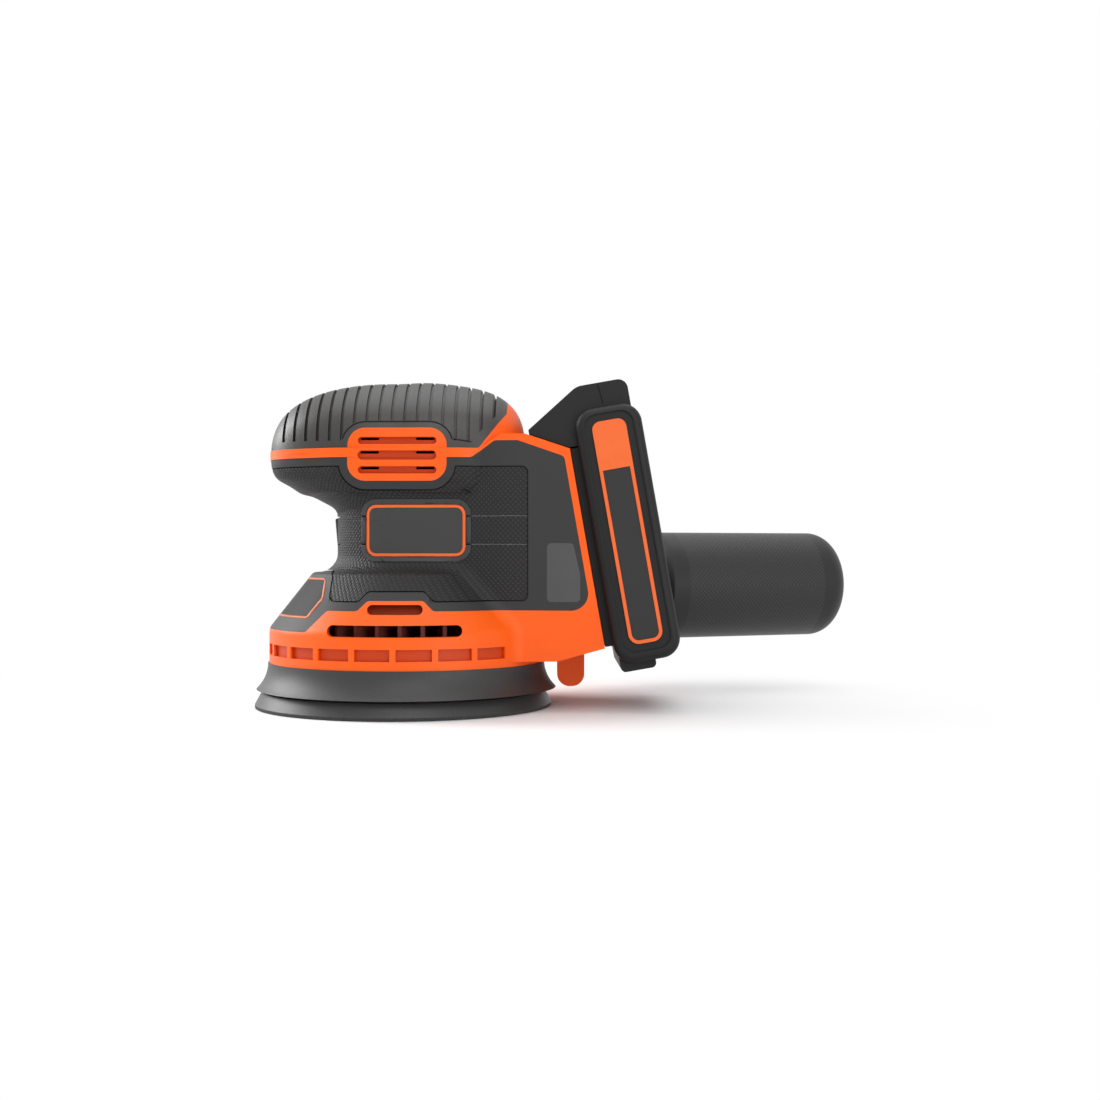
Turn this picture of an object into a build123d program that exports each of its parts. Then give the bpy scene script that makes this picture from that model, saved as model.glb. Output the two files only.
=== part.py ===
from build123d import *
import math
import os

os.makedirs("parts", exist_ok=True)

# Cordless random orbital sander. Millimetres, +Z up.
# The origin is on the motor axis at the sanding face, +X points to the battery.

# Platen
pad_diameter = 125.0
pad_edge_taper = 2.8
orbit_offset = 1.25
hook_thickness = 1.2
foam_thickness = 5.3
backing_thickness = 3.2
backing_inset = 5.5
dust_hole_circle = 65.0
dust_hole_radius = 5.0
dust_hole_count = 8

# Base bell
bell_radius = 57.8
bell_bottom = 18.7
bell_shoulder = 33.0
cone_top_radius = 39.6
cone_top = 56.3
shoulder_round = 5.0
ledge_round = 2.5
neck_round = 8.0

# Dust skirt
skirt_lip_radius = 63.2
skirt_lip_height = 7.6
skirt_wall = 2.2
skirt_step = 0.5

# Waist and rear block
waist_front = 29.6
waist_half_width = 30.0
block_half_width = 33.4
block_swell_start = 20.0
block_swell_end = 47.0
block_bottom = 20.6
block_chin = 25.9
block_top = 112.6
block_rise_start = 29.0
block_rise_end = 41.0
block_shoulder = 50.5
receptacle_x = 76.1
receptacle_z = 65.0
battery_tilt = 10.0
receptacle_top = 42.2

# Palm grip
grip_front = 57.2
grip_rear = 50.2
grip_half_width = 34.6
grip_crown = 30.7
belt_height = 104.9
belt_proud = 0.3
throat_height = 26.9
throat_tuck = 0.4
throat_sweep = 3.5
throat_hold = 4.5
front_power = 2.5
rear_power = 3.2
section_power = 2.4

# Walls and clearances
skin_thickness = 2.0
housing_wall = 2.2
fit_gap = 0.1
running_gap = 0.05
slide_gap = 0.4

# Vents and trims
belt_band = 3.8
island_front = 20.8
island_rear = 19.2
island_bottom = 93.5
island_top = 114.9
island_corner = 7.0
vent_length = 31.7
vent_middle_x = -0.75
vent_heights = (97.9, 103.8, 109.7)
vent_openings = (2.9, 3.7, 2.9)
vent_dash_length = 7.6
vent_dash_reach = 11.2
vent_dash_opening = 1.1
long_slot_length = 53.0
long_slot_height = 33.9
long_slot_opening = 4.6
short_slot_length = 21.9
short_slot_height = 42.1
short_slot_opening = 3.9
groove_bottom = 22.3
groove_top = 27.0
groove_depth = 1.6
groove_rib = 2.4
groove_pitch = 16.4
groove_rear_limit = 43.0
rib_pitch = 5.1
rib_groove = 1.3
rib_depth = 1.2
rib_border = 3.0
panel_strip = 2.7
panel_bottom = 41.5
panel_step = 4.0
panel_front = -27.5
panel_round = 2.5
panel_heel_round = 7.0
slot_island = 11.0
cap_rear_low = 32.0
cap_rear_high = 43.0
cap_sweep = 15.0

# Inlaid plates
plate_depth = 0.8
badge_front = -14.0
badge_rear = 26.6
badge_bottom = 63.0
badge_top = 84.0
badge_corner = 4.0
patch_front = 59.6
patch_rear_low = 73.0
patch_rear_high = 70.1
patch_bottom = 44.6
patch_bend = 55.5
patch_top = 68.4
patch_corner = 1.8
front_plate_top = 54.2
front_plate_bend = 46.0
front_plate_bottom = 38.3
front_plate_rear = -30.0
front_plate_chamfer = 6.0
inlay_margin = 3.4
inlay_front = -27.5
inlay_rear = 52.0
inlay_corner = 2.6
fine_groove = 0.5
grip_line_heights = (79.4, 67.9)

# Motor
motor_radius = 19.0
motor_bottom = 44.0
motor_length = 57.0
can_wall = 1.6
end_bell_length = 14.0
magnet_thickness = 3.4
magnet_spacing = 14.0
air_gap = 0.5
shaft_radius = 2.5
cradle_thickness = 3.0
cradle_setback = 8.0
cushion_height = 12.0
cushion_inset = 2.0

# Impeller and eccentric drive
impeller_radius = 47.0
impeller_plate = 28.0
impeller_plate_thickness = 2.0
blade_count = 32
blade_thickness = 1.6
blade_root = 25.0
blade_lean = 20.0
cooling_blade = 7.4
dust_blade = 5.6
impeller_hub = 8.5
hub_clearance = 1.6
bearing_width = 8.0
bearing_outer = 14.0
bearing_inner = 6.0
bearing_ring = 2.2
ball_radius = 2.1
ball_count = 9
eccentric_wall = 3.0
eccentric_plate = 2.0
weight_reach = 5.5
spindle_flange = 18.0
spindle_flange_thickness = 1.5
spindle_collar = 0.8
platen_screw_circle = 28.0
platen_screw_radius = 1.4
platen_screw_count = 4
motor_bearing_radius = 6.5
motor_bearing_width = 5.0
armature_length = 26.0
armature_slots = 5
winding_set_in = 1.6
commutator_radius = 5.0
commutator_length = 9.0
brush_width = 4.0

# Dust duct and canister
duct_angle = 22.0
duct_offset = 19.8
duct_height = 48.9
duct_radius = 15.5
duct_length = 112.0
spigot_radius = 13.0
spigot_length = 30.0
duct_bore = 11.0
duct_root = 5.0
duct_mouth = 34.0
canister_radius = 25.0
canister_start = 125.0
canister_end = 221.0
canister_wall = 2.0
canister_edge = 11.0
collar_length = 12.0
collar_lip = 1.0
cap_length = 14.0
filter_radius = 17.0
filter_ribs = 6
filter_rib = 1.6

# On/off rocker on the front of the waist
rocker_height = 70.0
rocker_length = 18.0
rocker_width = 14.0
rocker_depth = 4.4
rocker_sunk = 0.5
rocker_edge = 0.8
rocker_swing = 10.0
rocker_gap = 0.8
rocker_pin_radius = 1.0
rocker_pin_reach = 2.5

# Battery socket in the rear face
lip_depth = 3.6
lip_half_width = 15.4
socket_depth = 9.4
socket_half_width = 18.4
socket_low = -31.0
socket_wall = 2.6

# Battery pack, measured along (up) and square to (back) the tool's rear face
pack_half_width = 37.0
pack_back = 30.5
pack_seat = 3.5
pack_neck_half_width = 30.0
pack_low = -47.4
pack_body_high = 56.4
pack_corner = 8.0
pack_high = 66.6
pack_brow_round = 8.0
pack_crest_round = 4.0
heel_low = -50.8
heel_front = 5.0
heel_back = 19.5
heel_round = 2.0
nose_tip_back = -15.2
nose_tip_blunt = 1.6
nose_top_back = 7.0
nose_half_width = 31.0
nose_gap = 0.6
pack_split = 10.0
pack_wall = 2.4
pack_edge = 3.0
tongue_depth = 9.0
cell_radius = 9.1
cell_length = 65.0
cell_pitch = 18.6
cell_count = 5
cell_back = 17.0
cell_lift = 3.0
strap_thickness = 0.3
strap_width = 8.0
panel_depth = 0.9
panel_margin = 3.2
panel_corner = 5.5
label_front = 10.0
label_back = 23.8
label_low = -40.0
label_high = 50.5
label_thickness = 0.6

# Release button in the battery's sloping nose
button_width = 26.0
button_length = 12.0
button_thickness = 6.0
button_proud = 1.2
button_edge = 1.0
button_travel = 2.5

# Terminals
terminal_low = 2.0
terminal_height = 8.0
blade_pitch = 7.0
blade_width = 5.0
blade_gauge = 0.8
blade_length = 11.0
blade_terminals = 4
contact_gap = 0.5
contact_gauge = 0.3

# Housing screws, as side-view places
screw_places = ((-41.0, 104.9), (33.0, 117.0), (57.0, 96.0), (62.0, 33.0), (-31.0, 46.5))
screw_radius = 1.5
screw_head_radius = 3.0
screw_head_height = 2.2
screw_reach = 11.0
boss_wall = 2.6
boss_split = 9.0

# Rear foot
foot_front = 63.8
foot_rear = 75.3
foot_bottom = 8.0
foot_half_width = 5.0

tilt_sin = math.sin(math.radians(battery_tilt))
tilt_cos = math.cos(math.radians(battery_tilt))


def tilted(up, back):
    """Side-view point measured along and square to the battery's face."""
    x = receptacle_x + back * tilt_cos - up * tilt_sin
    z = receptacle_z + back * tilt_sin + up * tilt_cos
    return (x, z)


def side_prism(points, half_width, round_by=0.0):
    """Side-view outline (X, Z) carried across the width."""
    outline = make_face(Polyline(*points, close=True))
    if round_by:
        outline = fillet(outline.vertices(), round_by)
    return extrude(Plane.XZ * outline, half_width, both=True)


def disc(radius, low, high, x=0.0, y=0.0):
    """Upright cylinder between two heights."""
    return Pos(x, y, (low + high) / 2) * Cylinder(radius, high - low)


def ring(outer, inner, low, high, x=0.0, y=0.0):
    """Upright tube between two heights."""
    return disc(outer, low, high, x, y) - disc(inner, low - 1, high + 1, x, y)


def cut_box(x, y, z):
    """Box given by its low and high bounds on each axis."""
    size = Box(x[1] - x[0], y[1] - y[0], z[1] - z[0])
    return Pos((x[0] + x[1]) / 2, (y[0] + y[1]) / 2, (z[0] + z[1]) / 2) * size


# Outer form, made again at any depth below the surface
def swell(share, power):
    """Height of a rounded hump of unit size at a share of its reach."""
    return (1 - abs(share) ** power) ** (1 / power)


def hump(width, height, power):
    """Quarter of a rounded outline from its side (width, 0) to its top (0, height)."""
    points = []
    for angle in (0, 30, 60, 90):
        across_share = math.cos(math.radians(angle)) ** (2 / power)
        up_share = math.sin(math.radians(angle)) ** (2 / power)
        points.append((width * across_share, height * up_share))
    side = (0, math.copysign(1, height))
    top = (-math.copysign(1, width), 0)
    return Spline(*points, tangents=(side, top))


def bell_form(inset, bottom):
    slope = math.atan2(cone_top - bell_shoulder, bell_radius - cone_top_radius)
    drop = inset * math.tan((math.pi / 2 - slope) / 2)
    draw = inset * math.tan(slope / 2)
    profile = Polyline(
        (0, bottom),
        (bell_radius - inset, bottom),
        (bell_radius - inset, bell_shoulder - drop),
        (cone_top_radius - draw, cone_top - inset),
        (0, cone_top - inset),
        close=True,
    )
    face = make_face(profile)
    shoulder = face.vertices().sort_by_distance((bell_radius, bell_shoulder))[0]
    face = fillet(shoulder, shoulder_round)
    ledge = face.vertices().sort_by_distance((cone_top_radius, cone_top))[0]
    return revolve(Plane.XZ * fillet(ledge, ledge_round), Axis.Z)


def waist_plan(inset):
    """Round-fronted waist that swells to the rear block's width, in plan."""
    half = waist_half_width - inset
    rear = block_half_width - inset
    middle = waist_half_width - waist_front
    end = receptacle_x + pack_back
    lines = [CenterArc((middle, 0), half, 90, 180), Line((end, rear), (end, -rear))]
    for side in (-1, 1):
        start = (block_swell_start, side * half)
        finish = (block_swell_end, side * rear)
        lines.append(Line((middle, side * half), start))
        lines.append(Spline(start, finish, tangents=((1, 0), (1, 0))))
        lines.append(Line(finish, (end, side * rear)))
    return make_face(Curve() + lines)


def waist_form(inset, bottom):
    column = Pos(0, 0, bottom) * extrude(waist_plan(inset), block_top - bottom)
    corner = tilted(receptacle_top, -inset)
    chin = tilted((block_chin - receptacle_z) / tilt_cos, -inset)
    side = [
        (-bell_radius, bottom),
        (foot_front, bottom),
        (chin[0], chin[1] + inset),
        corner,
        (block_shoulder, block_top - inset),
        (block_rise_end, block_top - inset),
        (block_rise_start, belt_height - inset),
        (-bell_radius, belt_height - inset),
    ]
    return column & side_prism(side, bell_radius)


def grip_plan(front, rear, half, power):
    """Rounded plan of the palm grip at one height."""
    quarters = []
    for side in (half, -half):
        quarters.append(hump(-front, side, power))
        quarters.append(hump(rear, side, rear_power))
    return make_face(Curve() + quarters)


def sole_form(inset):
    """Lower half of the grip, which sweeps in from the belt and down to the waist."""
    start_front = waist_front - throat_tuck
    start_half = waist_half_width - throat_tuck
    sections = []
    for share in (0, 0.08, 0.16, 0.24, 0.32, 0.4, 0.5, 0.62, 0.76, 0.9, 1.0):
        grown = (1 - (1 - share) ** throat_sweep) ** throat_hold
        front = start_front + (grip_front - start_front) * grown - inset
        half = start_half + (grip_half_width - start_half) * grown - inset
        power = 2 + (front_power - 2) * grown
        height = belt_height - belt_proud - (1 - share) * (throat_height - inset)
        sections.append(Pos(0, 0, height) * grip_plan(front, grip_rear - inset, half, power))
    return loft(sections)


def belt_form(inset):
    """Raised band round the widest line of the grip."""
    grow = belt_proud - inset
    plan = grip_plan(grip_front + grow, grip_rear + grow, grip_half_width + grow, front_power)
    return Pos(0, 0, belt_height - belt_band / 2) * extrude(plan, belt_band)


def dome_form(inset):
    """Upper half of the grip, lofted from front to rear."""
    stations = (-0.998, -0.985, -0.94, -0.85, -0.7, -0.45, 0, 0.45, 0.7, 0.85, 0.94, 0.985, 0.998)
    sections = []
    for station in stations:
        power = front_power if station < 0 else rear_power
        reach = grip_front if station < 0 else grip_rear
        size = swell(station, power)
        half = (grip_half_width - inset) * size
        crown = (grip_crown - inset) * size
        arch = [hump(half, crown, section_power), hump(-half, crown, section_power)]
        outline = Curve() + arch + [Line((half, 0), (-half, 0))]
        place = Plane((station * (reach - inset), 0, belt_height), x_dir=(0, 1, 0), z_dir=(1, 0, 0))
        sections.append(place * make_face(outline))
    return loft(sections)


def neck_edges(base):
    """Hollow corner where the bell runs up into the waist and the rear block."""
    chosen = []
    for edge in base.edges():
        box = edge.bounding_box()
        if groove_top < box.max.Z < cone_top + fit_gap and box.min.X > -waist_front - fit_gap:
            chosen.append(edge)
    return chosen


def outer_form(inset, neck=0.0, bottom_lift=0.0):
    base = bell_form(inset, bell_bottom + bottom_lift) + waist_form(inset, block_bottom + inset)
    if neck:
        base = fillet(neck_edges(base), neck)
    return base + (belt_form(inset) + dome_form(inset) + sole_form(inset))


# Overmoulded skins: each is the outer layer inside a side-view outline
belt_low = belt_height - belt_band / 2
belt_high = belt_height + belt_band / 2
far = 2 * pad_diameter


def island_face(grow):
    """Rounded orange island round the side vents, in side view."""
    width = island_front + island_rear + 2 * grow
    height = island_top - island_bottom + 2 * grow
    place = Pos((island_rear - island_front) / 2, (island_top + island_bottom) / 2)
    return place * RectangleRounded(width, height, island_corner + grow)


def across(face):
    """Side-view face carried right through the part."""
    return extrude(Plane.XZ * face, far, both=True)


def grip_outline():
    points = [
        (-far, belt_low),
        (block_rise_start, belt_low),
        (block_rise_end - panel_strip, block_top - panel_strip),
        (block_shoulder - panel_strip, block_top - panel_strip),
        tilted(receptacle_top - panel_strip, -panel_strip),
        tilted((panel_bottom - receptacle_z) / tilt_cos, -panel_strip),
        (slot_island + panel_step, panel_bottom),
        (slot_island, panel_bottom + panel_step),
        (-slot_island, panel_bottom + panel_step),
        (-slot_island - panel_step, panel_bottom),
        (panel_front, panel_bottom),
        (panel_front - panel_bottom + bell_shoulder, bell_shoulder),
        (-far, bell_shoulder),
    ]
    outline = make_face(Polyline(*points, close=True))
    heel_place = tilted((panel_bottom - receptacle_z) / tilt_cos, -panel_strip)
    heel = outline.vertices().sort_by_distance(heel_place)[0]
    outline = fillet(heel, panel_heel_round)
    inner = [v for v in outline.vertices() if -far + 1 < v.X < inlay_rear or v.Y > patch_top]
    return fillet(inner, panel_round) - island_face(0)


def cap_outline(border):
    points = [
        (-far, belt_high + border),
        (cap_rear_low - border, belt_high + border),
        (cap_rear_high - border, belt_high + cap_sweep),
        (cap_rear_high - border, far),
        (-far, far),
    ]
    outline = make_face(Polyline(*points, close=True))
    inner = [v for v in outline.vertices() if v.X > -far + 1 and v.Y < far - 1]
    return fillet(inner, panel_round) - island_face(border)


body_form = outer_form(0, neck_round)
skin_floor = outer_form(skin_thickness)
left_side = cut_box((-far, far), (-far, 0), (-far, far))
right_side = cut_box((-far, far), (0, far), (-far, far))

grip_zone = across(grip_outline()) - skin_floor
cap_zone = across(cap_outline(0)) - skin_floor
side_skin = body_form & grip_zone
cap_skin = body_form & cap_zone

rib_count = int((grip_front + cap_rear_high) / rib_pitch)
rib_cuts = Part()
for index in range(1, rib_count):
    x = cap_rear_high - index * rib_pitch
    rib_cuts += cut_box((x - rib_groove / 2, x + rib_groove / 2), (-far, far), (belt_high, far))
rib_zone = (across(cap_outline(rib_border)) & rib_cuts) - dome_form(rib_depth)
top_grip = cap_skin - rib_zone


# Inlaid plates
plate_floor = outer_form(plate_depth)


def badge_zone():
    width = badge_rear - badge_front
    height = badge_top - badge_bottom
    face = RectangleRounded(width, height, badge_corner)
    middle = ((badge_front + badge_rear) / 2, 0, (badge_bottom + badge_top) / 2)
    return Pos(*middle) * extrude(Plane.XZ * face, far)


def patch_zone():
    points = [
        (patch_front, patch_bottom),
        (patch_rear_low, patch_bottom),
        (patch_rear_low, patch_bend),
        (patch_rear_high, patch_top),
        (patch_front, patch_top),
    ]
    face = make_face(Polyline(*points, close=True))
    return extrude(Plane.XZ * fillet(face.vertices(), patch_corner), far)


def front_plate_zone():
    points = [
        (-far, front_plate_top),
        (front_plate_rear, front_plate_top),
        (front_plate_rear, front_plate_bend),
        (front_plate_rear - front_plate_chamfer, front_plate_bottom),
        (-far, front_plate_bottom),
    ]
    face = make_face(Polyline(*points, close=True))
    inner = [v for v in face.vertices() if v.X > -far + 1]
    return across(fillet(inner, patch_corner))


def inlay_face(shrink):
    """Textured field of the side grip, in side view."""
    edge = inlay_margin + shrink
    bottom = panel_bottom + edge
    points = [
        (-far, belt_low - edge),
        (inlay_rear - shrink, belt_low - edge),
        (inlay_rear - shrink, bottom),
        (slot_island + panel_step, bottom),
        (slot_island, bottom + panel_step),
        (-slot_island, bottom + panel_step),
        (-slot_island - panel_step, bottom),
        (inlay_front + shrink, bottom),
        (inlay_front + shrink, cone_top + fine_groove + shrink),
        (-far, cone_top + fine_groove + shrink),
    ]
    face = make_face(Polyline(*points, close=True))
    inner = [v for v in face.vertices() if v.X > -far + 1]
    return fillet(inner, inlay_corner) - island_face(edge)


def fine_lines():
    """Thin grooves that frame the textured field and cross it beside the badge."""
    lines = inlay_face(0) - inlay_face(fine_groove)
    for height in grip_line_heights:
        length = inlay_rear + far - fine_groove
        lines += Pos(inlay_rear - fine_groove - length / 2, height) * Rectangle(length, fine_groove)
    return across(lines)


badge_plate = body_form & (badge_zone() - plate_floor)
rating_patch = body_form & (patch_zone() - plate_floor)
front_plate = body_form & (front_plate_zone() - plate_floor)
trim_cut = (fine_lines() + badge_zone() + patch_zone() + front_plate_zone()) - plate_floor

# Dust duct on the far side, tangent to the impeller
duct_turn = math.radians(duct_angle)
duct_plane = Plane(
    (-duct_offset * math.sin(duct_turn), duct_offset * math.cos(duct_turn), duct_height),
    x_dir=(0, 0, 1),
    z_dir=(math.cos(duct_turn), math.sin(duct_turn), 0),
)


def along_duct(radius, start, end):
    """Cylinder on the duct's axis between two distances from the motor axis."""
    return duct_plane * Pos(0, 0, (start + end) / 2) * Cylinder(radius, end - start)


duct = along_duct(duct_radius, duct_root, duct_length)
spigot = along_duct(spigot_radius, duct_length - 1, duct_length + spigot_length)
duct_hole = along_duct(duct_bore, duct_mouth, duct_length + spigot_length + 1)

# Openings in the housing
battery_place = Location((receptacle_x, 0, receptacle_z), (0, -battery_tilt, 0))


def vent_cut(length, opening, x, height, inner):
    """Slot with round ends through both flanks, from an inner half-width outwards."""
    slot = Pos(x, height) * SlotOverall(length, opening)
    return extrude(Plane.XZ * slot, far, both=True) - cut_box((-far, far), (-inner, inner), (0, far))


def socket_cut():
    top = 2 * receptacle_top
    mouth = cut_box((-lip_depth, far), (-lip_half_width, lip_half_width), (socket_low, top))
    well = cut_box((-socket_depth, -lip_depth), (-socket_half_width, socket_half_width), (socket_low, top))
    return battery_place * (mouth + well)


def rocker_cut():
    half_width = rocker_width / 2 + slide_gap
    half_height = rocker_length / 2 + rocker_gap
    height = (rocker_height - half_height, rocker_height + half_height)
    window = cut_box((-far, -motor_radius), (-half_width, half_width), height)
    pin = Rot(90, 0, 0) * Cylinder(rocker_pin_radius + fit_gap, rocker_width + 2 * rocker_pin_reach)
    return window + Pos(rocker_pin_x, 0, rocker_height) * pin


def groove_cut():
    band = ring(bell_radius + 1, bell_radius - groove_depth, groove_bottom, groove_top)
    band -= cut_box((groove_rear_limit, far), (-far, far), (0, far))
    rib = cut_box((0, far), (-groove_rib / 2, groove_rib / 2), (0, far))
    for index in range(-3, 6):
        angle = 90 + index * groove_pitch
        band -= Rot(0, 0, angle) * rib
        band -= Rot(0, 0, -angle) * rib
    return band


def screw_line(radius, low, high, place):
    """Cylinder across the width at one screw's place."""
    length = high - low
    return Pos(place[0], (low + high) / 2, place[1]) * Rot(90, 0, 0) * Cylinder(radius, length)


rocker_pin_x = -waist_front + skin_thickness + rocker_pin_radius
wall_depth = skin_thickness + housing_wall
motor_top = motor_bottom + motor_length
cavity = outer_form(wall_depth, 0, -1)
cradles = Part()
for height in (motor_bottom + cradle_setback, motor_top - end_bell_length - cradle_setback):
    cradles += disc(far, height, height + cradle_thickness)
cradles -= disc(motor_radius + fit_gap, 0, far)
socket_block = battery_place * cut_box(
    (-socket_depth - socket_wall, 0),
    (-socket_half_width - socket_wall, socket_half_width + socket_wall),
    (socket_low - socket_wall, 2 * receptacle_top),
)
bosses = Part()
for place in screw_places:
    bosses += screw_line(screw_radius + boss_wall, -far, far, place)
hollow = cavity - cradles - socket_block - bosses

foot = side_prism(
    [
        (foot_front, block_bottom + wall_depth),
        (foot_front, foot_bottom),
        (foot_rear, foot_bottom),
        (foot_rear, block_bottom + wall_depth),
    ],
    foot_half_width,
)
foot = fillet(foot.edges().filter_by(Axis.Y).group_by(Axis.Z)[0], (foot_rear - foot_front) / 2 - 0.5)

shell = body_form - grip_zone - cap_zone
shell = shell + duct + spigot + foot - hollow - duct_hole
for height, opening in zip(vent_heights, vent_openings):
    shell -= vent_cut(vent_length, opening, vent_middle_x, height, waist_half_width / 2) - skin_floor
    dash_height = height + (opening - vent_dash_opening) / 2 - fit_gap
    for dash_x in (vent_middle_x - vent_dash_reach, vent_middle_x + vent_dash_reach):
        shell -= vent_cut(vent_dash_length, vent_dash_opening, dash_x, dash_height, waist_half_width / 2)
shell -= vent_cut(long_slot_length, long_slot_opening, 0, long_slot_height, block_half_width)
shell -= vent_cut(short_slot_length, short_slot_opening, 0, short_slot_height, block_half_width)
shell -= groove_cut()
shell -= socket_cut()
shell -= rocker_cut()
skins = side_skin - trim_cut - rocker_cut() - duct

screw_holes = Part()
for place in screw_places:
    screw_holes += screw_line(screw_radius + fit_gap, -screw_reach, boss_split + 1, place)
    screw_holes += screw_line(screw_head_radius + slide_gap, boss_split, far, place)
shell -= screw_holes
skins -= screw_holes
top_grip -= screw_holes

housing_left = shell & left_side
housing_right = shell & right_side
grip_left = skins & left_side
grip_right = skins & right_side


# Dust skirt
def skirt():
    top = (bell_radius + skirt_step, bell_bottom)
    lip = (skirt_lip_radius, skirt_lip_height)
    bend = ((2 * top[0] + lip[0]) / 3 - skirt_step, (top[1] + lip[1]) / 2)
    outer = ThreePointArc(top, bend, lip)
    inner = ThreePointArc(
        (lip[0] - skirt_wall, lip[1]),
        (bend[0] - skirt_wall, bend[1]),
        (top[0] - wall_depth, top[1]),
    )
    foot_edge = Line(lip, (lip[0] - skirt_wall, lip[1]))
    top_edge = Line((top[0] - wall_depth, top[1]), top)
    return revolve(Plane.XZ * make_face(Curve() + [outer, foot_edge, inner, top_edge]), Axis.Z)


dust_skirt = skirt()

# Platen, on the orbiting axis
orbit_x = -orbit_offset
foam_bottom = hook_thickness
backing_bottom = foam_bottom + foam_thickness
backing_top = backing_bottom + backing_thickness
flange_top = backing_top + spindle_flange_thickness
bearing_bottom = flange_top + spindle_collar
bearing_top = bearing_bottom + bearing_width


def dust_holes():
    holes = Part()
    for place in PolarLocations(dust_hole_circle / 2, dust_hole_count):
        holes += Pos(orbit_x, 0, backing_top / 2) * place * Cylinder(dust_hole_radius, 2 * backing_top)
    return holes


def platen_foam():
    edge = pad_diameter / 2
    face = Polyline(
        (0, foam_bottom),
        (edge, foam_bottom),
        (edge - pad_edge_taper, backing_bottom),
        (0, backing_bottom),
        close=True,
    )
    solid = revolve(Plane.XZ * make_face(face), Axis.Z)
    return Pos(orbit_x, 0, 0) * solid - dust_holes()


hook_face = disc(pad_diameter / 2, 0, foam_bottom, x=orbit_x) - dust_holes()
foam_pad = platen_foam()


def screw_spots():
    places = PolarLocations(platen_screw_circle / 2, platen_screw_count)
    return [Pos(orbit_x, 0, 0) * place for place in places]


backing_radius = pad_diameter / 2 - backing_inset
backing_plate = disc(backing_radius, backing_bottom, backing_top, x=orbit_x) - dust_holes()
platen_spindle = disc(spindle_flange, backing_top, flange_top, x=orbit_x)
platen_spindle += disc(bearing_inner + bearing_ring, flange_top, bearing_bottom, x=orbit_x)
platen_spindle += disc(bearing_inner - running_gap, bearing_bottom, bearing_top - running_gap, x=orbit_x)
platen_screws = Part()
for spot in screw_spots():
    depth = backing_bottom + backing_thickness / 3
    hole = spot * disc(platen_screw_radius + running_gap, depth, far)
    backing_plate -= hole
    platen_spindle -= hole & disc(far, 0, flange_top)
    platen_screws += spot * disc(platen_screw_radius, depth, flange_top)

# Platen bearing
ball_circle = (bearing_inner + bearing_outer) / 2
bearing_middle = (bearing_bottom + bearing_top) / 2
race = Pos(orbit_x, 0, bearing_middle) * Torus(ball_circle, ball_radius + running_gap)
inner_land = bearing_inner + bearing_ring
outer_land = bearing_outer - bearing_ring
bearing_inner_ring = ring(inner_land, bearing_inner, bearing_bottom, bearing_top, orbit_x) - race
bearing_outer_ring = ring(bearing_outer, outer_land, bearing_bottom, bearing_top, orbit_x) - race
bearing_balls = Part()
for place in PolarLocations(ball_circle, ball_count):
    bearing_balls += Pos(orbit_x, 0, bearing_middle) * place * Sphere(ball_radius)

# Eccentric hub, counterweight and impeller, on the motor axis
hub_plate_top = bearing_top + eccentric_plate
hub_radius = bearing_outer + eccentric_wall
eccentric_hub = ring(hub_radius, bearing_outer + fit_gap, bearing_bottom, bearing_top, orbit_x)
eccentric_hub += disc(hub_radius, bearing_top, hub_plate_top, x=orbit_x)
eccentric_hub -= disc(outer_land, bearing_top - 1, bearing_top + hub_clearance / 2, x=orbit_x)
eccentric_hub += disc(impeller_hub, hub_plate_top, impeller_plate)
eccentric_hub -= disc(shaft_radius + running_gap, hub_plate_top, far)
counterweight = ring(hub_radius + weight_reach, hub_radius - orbit_offset, hub_plate_top, impeller_plate)
counterweight &= cut_box((0, far), (-far, far), (0, far))


def blade_ring(low, high):
    """Straight blades that lean back from the radius."""
    length = impeller_radius - blade_root
    blade = cut_box((0, length), (-blade_thickness / 2, blade_thickness / 2), (low, high))
    blades = Part()
    for place in PolarLocations(blade_root, blade_count):
        blades += place * Rot(0, 0, -blade_lean) * blade
    return blades & disc(impeller_radius, low, high)


plate_top = impeller_plate + impeller_plate_thickness
impeller = disc(impeller_radius, impeller_plate, plate_top)
impeller += disc(impeller_hub, plate_top, motor_bottom - hub_clearance)
impeller += blade_ring(plate_top, plate_top + cooling_blade)
impeller += blade_ring(impeller_plate - dust_blade, impeller_plate)
impeller -= disc(shaft_radius + running_gap, 0, far)

# Motor
can_top = motor_top - end_bell_length
can_inner = motor_radius - can_wall
motor_can = disc(motor_radius, motor_bottom, can_top)
motor_can -= disc(can_inner, motor_bottom + can_wall, can_top + 1)
bearing_seat = motor_bottom + can_wall + motor_bearing_width
motor_can += disc(motor_bearing_radius + can_wall, motor_bottom, bearing_seat)
motor_can -= disc(motor_bearing_radius + fit_gap, motor_bottom + can_wall, bearing_seat + 1)
motor_can -= disc(shaft_radius + 2 * slide_gap, 0, motor_bottom + can_wall)
shaft_top = motor_top - can_wall
end_bell = disc(motor_radius, can_top, motor_top)
end_bell -= disc(can_inner, can_top - 1, motor_top - can_wall - motor_bearing_width)
end_bell -= disc(motor_bearing_radius + fit_gap, 0, shaft_top)
motor_cushion = disc(motor_radius - cushion_inset, motor_top, motor_top + cushion_height)
shaft_bore = shaft_radius + running_gap
lower_bearing = ring(motor_bearing_radius, shaft_bore, motor_bottom + can_wall, bearing_seat)
upper_bearing = ring(motor_bearing_radius, shaft_bore, shaft_top - motor_bearing_width, shaft_top)
motor_shaft = disc(shaft_radius, hub_plate_top, shaft_top)

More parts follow.
